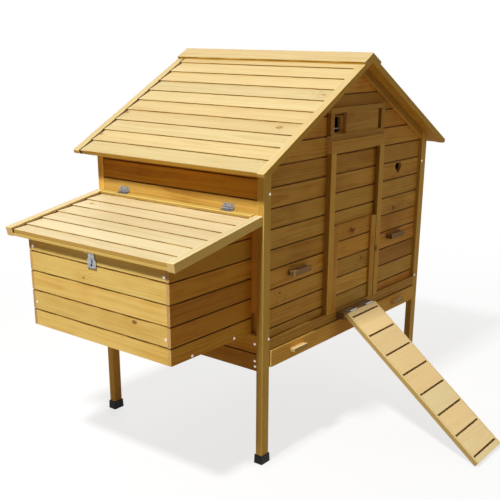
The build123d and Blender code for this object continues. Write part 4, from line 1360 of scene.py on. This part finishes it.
@dataclass
class NestBox:
    """The nest box on the left wall."""

    coop: Coop
    first_course: float = 50.5 * MILLIMETRE
    front_screws: Places = ((-359.0, 66.0, 702.0), (-359.0, 66.0, 521.0),
                            (-359.0, 628.0, 703.0), (-359.0, 628.0, 521.0))
    side_screws: Places = ((-82.0, 47.0, 452.0), (-272.0, 47.0, 452.0))
    far_screws: Places = ((-82.0, 645.0, 452.0), (-272.0, 645.0, 452.0))

    def build(self) -> None:
        """Dresses walls, floor and divider, and sets the screws of the walls."""
        coop = self.coop
        joint_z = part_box("nest_front_boards")[0].z + self.first_course
        for node, along, stain, seed in (("nest_front_boards", Axis.BACK, Stains.nest, 41.3),
                                         ("nest_side_front_boards", Axis.RIGHT, Stains.side, 42.9),
                                         ("nest_side_rear_boards", Axis.RIGHT, Stains.side, 43.7)):
            stain.cover(node, coop.boards(along, joint_z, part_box(node)[0]), seed)
        dress("nest_floor", Stains.ply.material("nest_floor_ply", Axis.UP, Axis.RIGHT))
        dress("nest_divider", Stains.ply.material("divider_ply", Axis.BACK, Axis.RIGHT))
        coop.screws("nest_front_screws", self.front_screws, -Axis.RIGHT.vector)
        coop.screws("nest_side_screws", self.side_screws, -Axis.BACK.vector)
        coop.screws("nest_far_screws", self.far_screws, Axis.BACK.vector)


@dataclass
class NestLid:
    """The lapped lid with its strips, hinge rail and cleats."""

    coop: Coop
    first_cover: float = 50 * MILLIMETRE
    butt: float = 13 * MILLIMETRE
    strip_width: float = 27 * MILLIMETRE
    ease: float = 1.8 * MILLIMETRE

    def build(self) -> None:
        """Dresses the lid with one board for each lap."""
        coop = self.coop
        up_slope = Vector((cos(coop.lid_slope), 0.0, sin(coop.lid_slope)))
        boards = coop.lapped("lid_boards", up_slope, self.first_cover, self.butt)
        Stains.lid.cover("lid_boards", boards, seed=51.3)
        low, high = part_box("lid_end_strips")
        front, rear = low.y + self.strip_width, high.y - self.strip_width
        batten = Band(Axis.BACK, front, rear, Axis.BACK.vector, up_slope)
        strips = coop.sloped("lid_end_strips", up_slope, Axis.BACK, coop.timber_stretch, batten)
        Stains.strip.cover("lid_end_strips", strips, seed=52.2, ease=self.ease)
        cleats = coop.sloped("lid_cleats", up_slope, Axis.BACK, coop.timber_stretch)
        Stains.roof.cover("lid_cleats", cleats, seed=53.8)
        coop.plain(Stains.rail, "lid_hinge_rail", Axis.BACK, Axis.RIGHT, seed=54.4, ease=self.ease)


@dataclass
class Fittings:
    """Hinges, hasp and latch in bright zinc, with small dark screws; their places are in millimetres."""

    coop: Coop
    nodes: tuple[str, ...] = ("fixed_hinge_leaves", "hinge_pins", "lid_hinge_leaves", "ramp_hinge_leaves",
                              "hasp_leaf", "hasp_plate", "hasp_pin", "latch_base", "latch_eye")
    head: ScrewHead = ScrewHead(radius=2.5 * MILLIMETRE, height=0.8 * MILLIMETRE, rows=6, turns=24,
                                slot_width=0.55 * MILLIMETRE, slot_depth=0.6 * MILLIMETRE)
    lid_hinges: tuple[float, ...] = (137.0, 590.0)
    ramp_hinges: tuple[float, ...] = (466.0, 570.0)
    spread: float = 13.0
    wall_x_z: Pair = (1.5, 840.4)
    lid_x_z: Pair = (-10.34, 826.02)
    ledger_y_z: Pair = (-24.5, 421.5)

    def build(self) -> None:
        """Dresses the metal nodes and sets the screws of the hinges."""
        for node in self.nodes:
            dress(node, self.coop.zinc)
        slope = self.coop.lid_slope
        wall, lid = ([(x, y, z) for y in self.pairs(self.lid_hinges)]
                     for x, z in (self.wall_x_z, self.lid_x_z))
        ledger = [(x, *self.ledger_y_z) for x in self.pairs(self.ramp_hinges)]
        for name, places, outward, body in (
                ("lid_hinge_wall_screws", wall, -Axis.RIGHT.vector, Body.FRAME),
                ("lid_hinge_lid_screws", lid, Vector((-sin(slope), 0.0, cos(slope))), Body.LID),
                ("ramp_hinge_screws", ledger, Axis.UP.vector, Body.FRAME)):
            self.coop.screws(name, places, outward, body, self.head, dark=True)

    def pairs(self, hinges: Sequence[float]) -> list[float]:
        """Where the two screws of each hinge are."""
        return [middle + side for middle in hinges for side in (-self.spread, self.spread)]


@dataclass
class Ramp:
    """The ramp: boards between side strips, on a hinge ledger."""

    coop: Coop
    tread_cover: float = 88 * MILLIMETRE
    foot_cover: float = 22.5 * MILLIMETRE
    groove: float = 7.0 * MILLIMETRE
    chamfer: float = 1.5 * MILLIMETRE
    thickness: float = 14 * MILLIMETRE
    strip_stretch: float = 100 * MILLIMETRE
    slope: float = radians(38.147)
    ease: float = 1.2 * MILLIMETRE

    def build(self) -> None:
        """Dresses the ramp's timbers."""
        coop = self.coop
        up_slope = Vector((0.0, cos(self.slope), sin(self.slope)))
        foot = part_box("ramp_boards")[0] + Axis.UP.vector * (self.thickness * cos(self.slope))
        start = foot + up_slope * (self.foot_cover - self.chamfer)
        boards = Lay(Axis.RIGHT.vector, up_slope, start, self.tread_cover, self.groove)
        Stains.ramp.cover("ramp_boards", boards, seed=61.6)
        strips = coop.sloped("ramp_side_strips", up_slope, Axis.RIGHT, self.strip_stretch)
        Stains.ramp.cover("ramp_side_strips", strips, seed=62.2, ease=self.ease)
        # The ledger takes the painted-shade stain.
        coop.plain(Stains.shade_painted, "ramp_ledger", Axis.RIGHT, Axis.UP, seed=63.8, ease=self.ease)


@dataclass
class Tray:
    """The dropping tray with its front, rims, handles and runners."""

    coop: Coop
    rim: float = 10 * MILLIMETRE
    ease: float = 1.6 * MILLIMETRE

    def build(self) -> None:
        """Dresses the tray's timbers and its plywood base."""
        coop = self.coop
        # Painted light: the tray front takes the paler corner copy and the handles the pale ramp stain, for
        # the light that they catch.
        for node, stain, seed in (("tray_front", Stains.corner, 71.2), ("tray_handles", Stains.ramp, 72.5)):
            coop.plain(stain, node, Axis.RIGHT, Axis.UP, seed, self.ease)
        low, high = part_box("tray_rims")
        band = Band(Axis.BACK, high.y - self.rim, high.y, Axis.RIGHT.vector, Axis.UP.vector)
        rims = Lay(Axis.BACK.vector, Axis.UP.vector, low, band=band)
        Stains.wall.cover("tray_rims", rims, seed=73.1)
        coop.plain(Stains.wall, "tray_runners", Axis.BACK, Axis.RIGHT, seed=74.6, cover=coop.timber_stretch)
        dress("tray_base", Stains.ply.material("tray_ply", Axis.UP, Axis.BACK))


@dataclass
class Perches:
    """Two perches in notched blocks."""

    coop: Coop
    stretch: float = 140 * MILLIMETRE

    def build(self) -> None:
        """Dresses the perches and their blocks."""
        coop = self.coop
        coop.plain(Stains.wall, "perches", Axis.BACK, Axis.RIGHT, seed=81.9, cover=self.stretch)
        coop.plain(Stains.wall, "perch_blocks", Axis.RIGHT, Axis.BACK, seed=82.3, cover=coop.timber_stretch)


@dataclass
class Studio:
    """A pale floor, a key light from the upper left, fills from the front and rear, and a white surround."""

    floor_radius: float = 14.0
    floor_sides: int = 96
    floor_tone: Colour = (0.95, 0.95, 0.95)
    bounce_tone: Colour = (0.30, 0.252, 0.192)
    white: Colour = (1.0, 1.0, 1.0)
    floor_white: float = 0.76
    fade: Pair = (1.0, 3.2)
    ambient: float = 0.115
    ambient_tone: Colour = (1.0, 0.85, 0.68)
    key_power: float = 275.0
    key_size: float = 0.45
    key_distance: float = 5.0
    key_towards: Triple = (-0.565, -0.014, 0.825)
    fill_size: float = 3.0
    fill_distance: float = 4.5
    front_power: float = 14.0
    front_towards: Triple = (0.42, -0.85, 0.32)
    rear_power: float = 90.0
    rear_towards: Triple = (0.62, 0.66, 0.42)

    def build(self) -> None:
        """Makes the floor, the surround and the lamps."""
        self.floor()
        self.surround()
        self.lamp("key", self.key_power, self.key_size, self.key_distance, self.key_towards)
        self.lamp("front_fill", self.front_power, self.fill_size, self.fill_distance, self.front_towards)
        self.lamp("rear_fill", self.rear_power, self.fill_size, self.fill_distance, self.rear_towards)
        bpy.context.scene.view_settings.view_transform = "Standard"

    def seen(self, sheet: NodeSheet) -> Term:
        """Tells the rays that see the studio from those that light the object.

        Args:
            sheet: Where the nodes go.

        Returns:
            1 for rays from the camera, in mirrors and through glass, 0 for the others.
        """
        path = sheet.add("LightPath").outputs
        rays = ("Is Camera Ray", "Is Glossy Ray", "Is Transmission Ray")
        camera, mirror, glass = (Term(sheet, path[ray]) for ray in rays)
        return (camera + mirror + glass).math("MINIMUM", 1.0)

    def floor(self) -> None:
        """A wide disc with the rim (r cos t, r sin t, 0), which keeps the shadow and fades to plain white."""
        turn = np.linspace(0.0, 2 * pi, self.floor_sides, endpoint=False)
        rim = np.stack([np.cos(turn), np.sin(turn), np.zeros_like(turn)], axis=-1) * self.floor_radius
        mesh = bpy.data.meshes.new("floor")
        mesh.from_pydata(rim.tolist(), [], [list(range(len(turn)))])
        sheet = MaterialSheet("floor_pale")
        nodes = sheet.tree.nodes
        nodes.remove(nodes["Principled BSDF"])
        place, _ = sheet.coordinates()
        away = sheet.node("VectorMath", {0: place}, "Value", operation="LENGTH")
        seen = self.seen(sheet)
        share = away.step(*self.fade, self.floor_white, 1.0) * seen
        matt = sheet.node("BsdfDiffuse", {"Color": sheet.blend(seen, self.bounce_tone, self.floor_tone)})
        white = sheet.node("Emission", {"Color": self.white, "Strength": 1.0})
        mixed = sheet.node("MixShader", {0: share, 1: matt, 2: white})
        sheet.feed(nodes["Material Output"].inputs["Surface"], mixed)
        mesh.materials.append(sheet.material)
        floor = linked("floor", mesh)

    def surround(self) -> None:
        """A white surround that lights the object only a little."""
        world = bpy.data.worlds.new("studio")
        bpy.context.scene.world = world
        world.use_nodes = True
        sheet = NodeSheet(world.node_tree)
        inputs = world.node_tree.nodes["Background"].inputs
        seen = self.seen(sheet)
        sheet.feed(inputs["Color"], sheet.blend(seen, self.ambient_tone, self.white))
        sheet.feed(inputs["Strength"], seen * (1.0 - self.ambient) + self.ambient)

    def lamp(self, name: str, power: float, size: float, distance: float, towards: Triple) -> None:
        """A square soft box that looks at the middle of the coop.

        Args:
            name: The lamp's name.
            power: Its power in watts.
            size: Its side in metres.
            distance: Its distance from the middle.
            towards: Direction from the middle to the lamp.
        """
        data = bpy.data.lights.new(name, "AREA")
        data.energy = power
        data.size = size
        lamp = linked(name, data)
        direction = Vector(towards).normalized()
        lamp.location = (cad_box[0] + cad_box[1]) / 2 + direction * distance
        lamp.rotation_euler = direction.to_track_quat("Z", "Y").to_euler()


@dataclass
class PhotoCamera:
    """The camera at the photograph's place, measured from the front left post's outer corner."""

    coop: Coop
    stand: Triple = (-1.9344, -1.4777, 1.3254)
    yaw: float = radians(52.983)
    pitch: float = radians(18.73)
    roll: float = radians(0.653)
    focal_pixels: float = 834.8
    shift: Pair = (-0.0356, 0.140)
    sensor: float = 36.0

    def build(self) -> None:
        """Makes the camera and sets it as the scene's own."""
        data = bpy.data.cameras.new("photo_camera")
        data.sensor_width = self.sensor
        data.lens = self.focal_pixels / IMAGE_PIXELS * self.sensor
        data.shift_x, data.shift_y = self.shift
        camera = linked("photo_camera", data)
        forward = Vector((sin(self.yaw) * cos(self.pitch), cos(self.yaw) * cos(self.pitch), -sin(self.pitch)))
        level = Vector((cos(self.yaw), -sin(self.yaw), 0.0))
        upright = level.cross(forward)
        right = level * cos(self.roll) + upright * sin(self.roll)
        up = upright * cos(self.roll) - level * sin(self.roll)
        axes = Matrix((right, up, -forward)).transposed()
        camera.matrix_world = Matrix.Translation(self.coop.corner + Vector(self.stand)) @ axes.to_4x4()
        bpy.context.scene.camera = camera


def main() -> None:
    """Builds the coop's looks, the studio and the camera."""
    logging.basicConfig(level=logging.INFO, format="%(name)s %(message)s")
    coop = Coop()
    for assembly in (Posts, Walls, PopDoor, Vent, Roof, NestBox, NestLid, Fittings, Ramp, Tray, Perches):
        assembly(coop).build()
    Studio().build()
    PhotoCamera(coop).build()


if __name__ == "__main__":
    main()
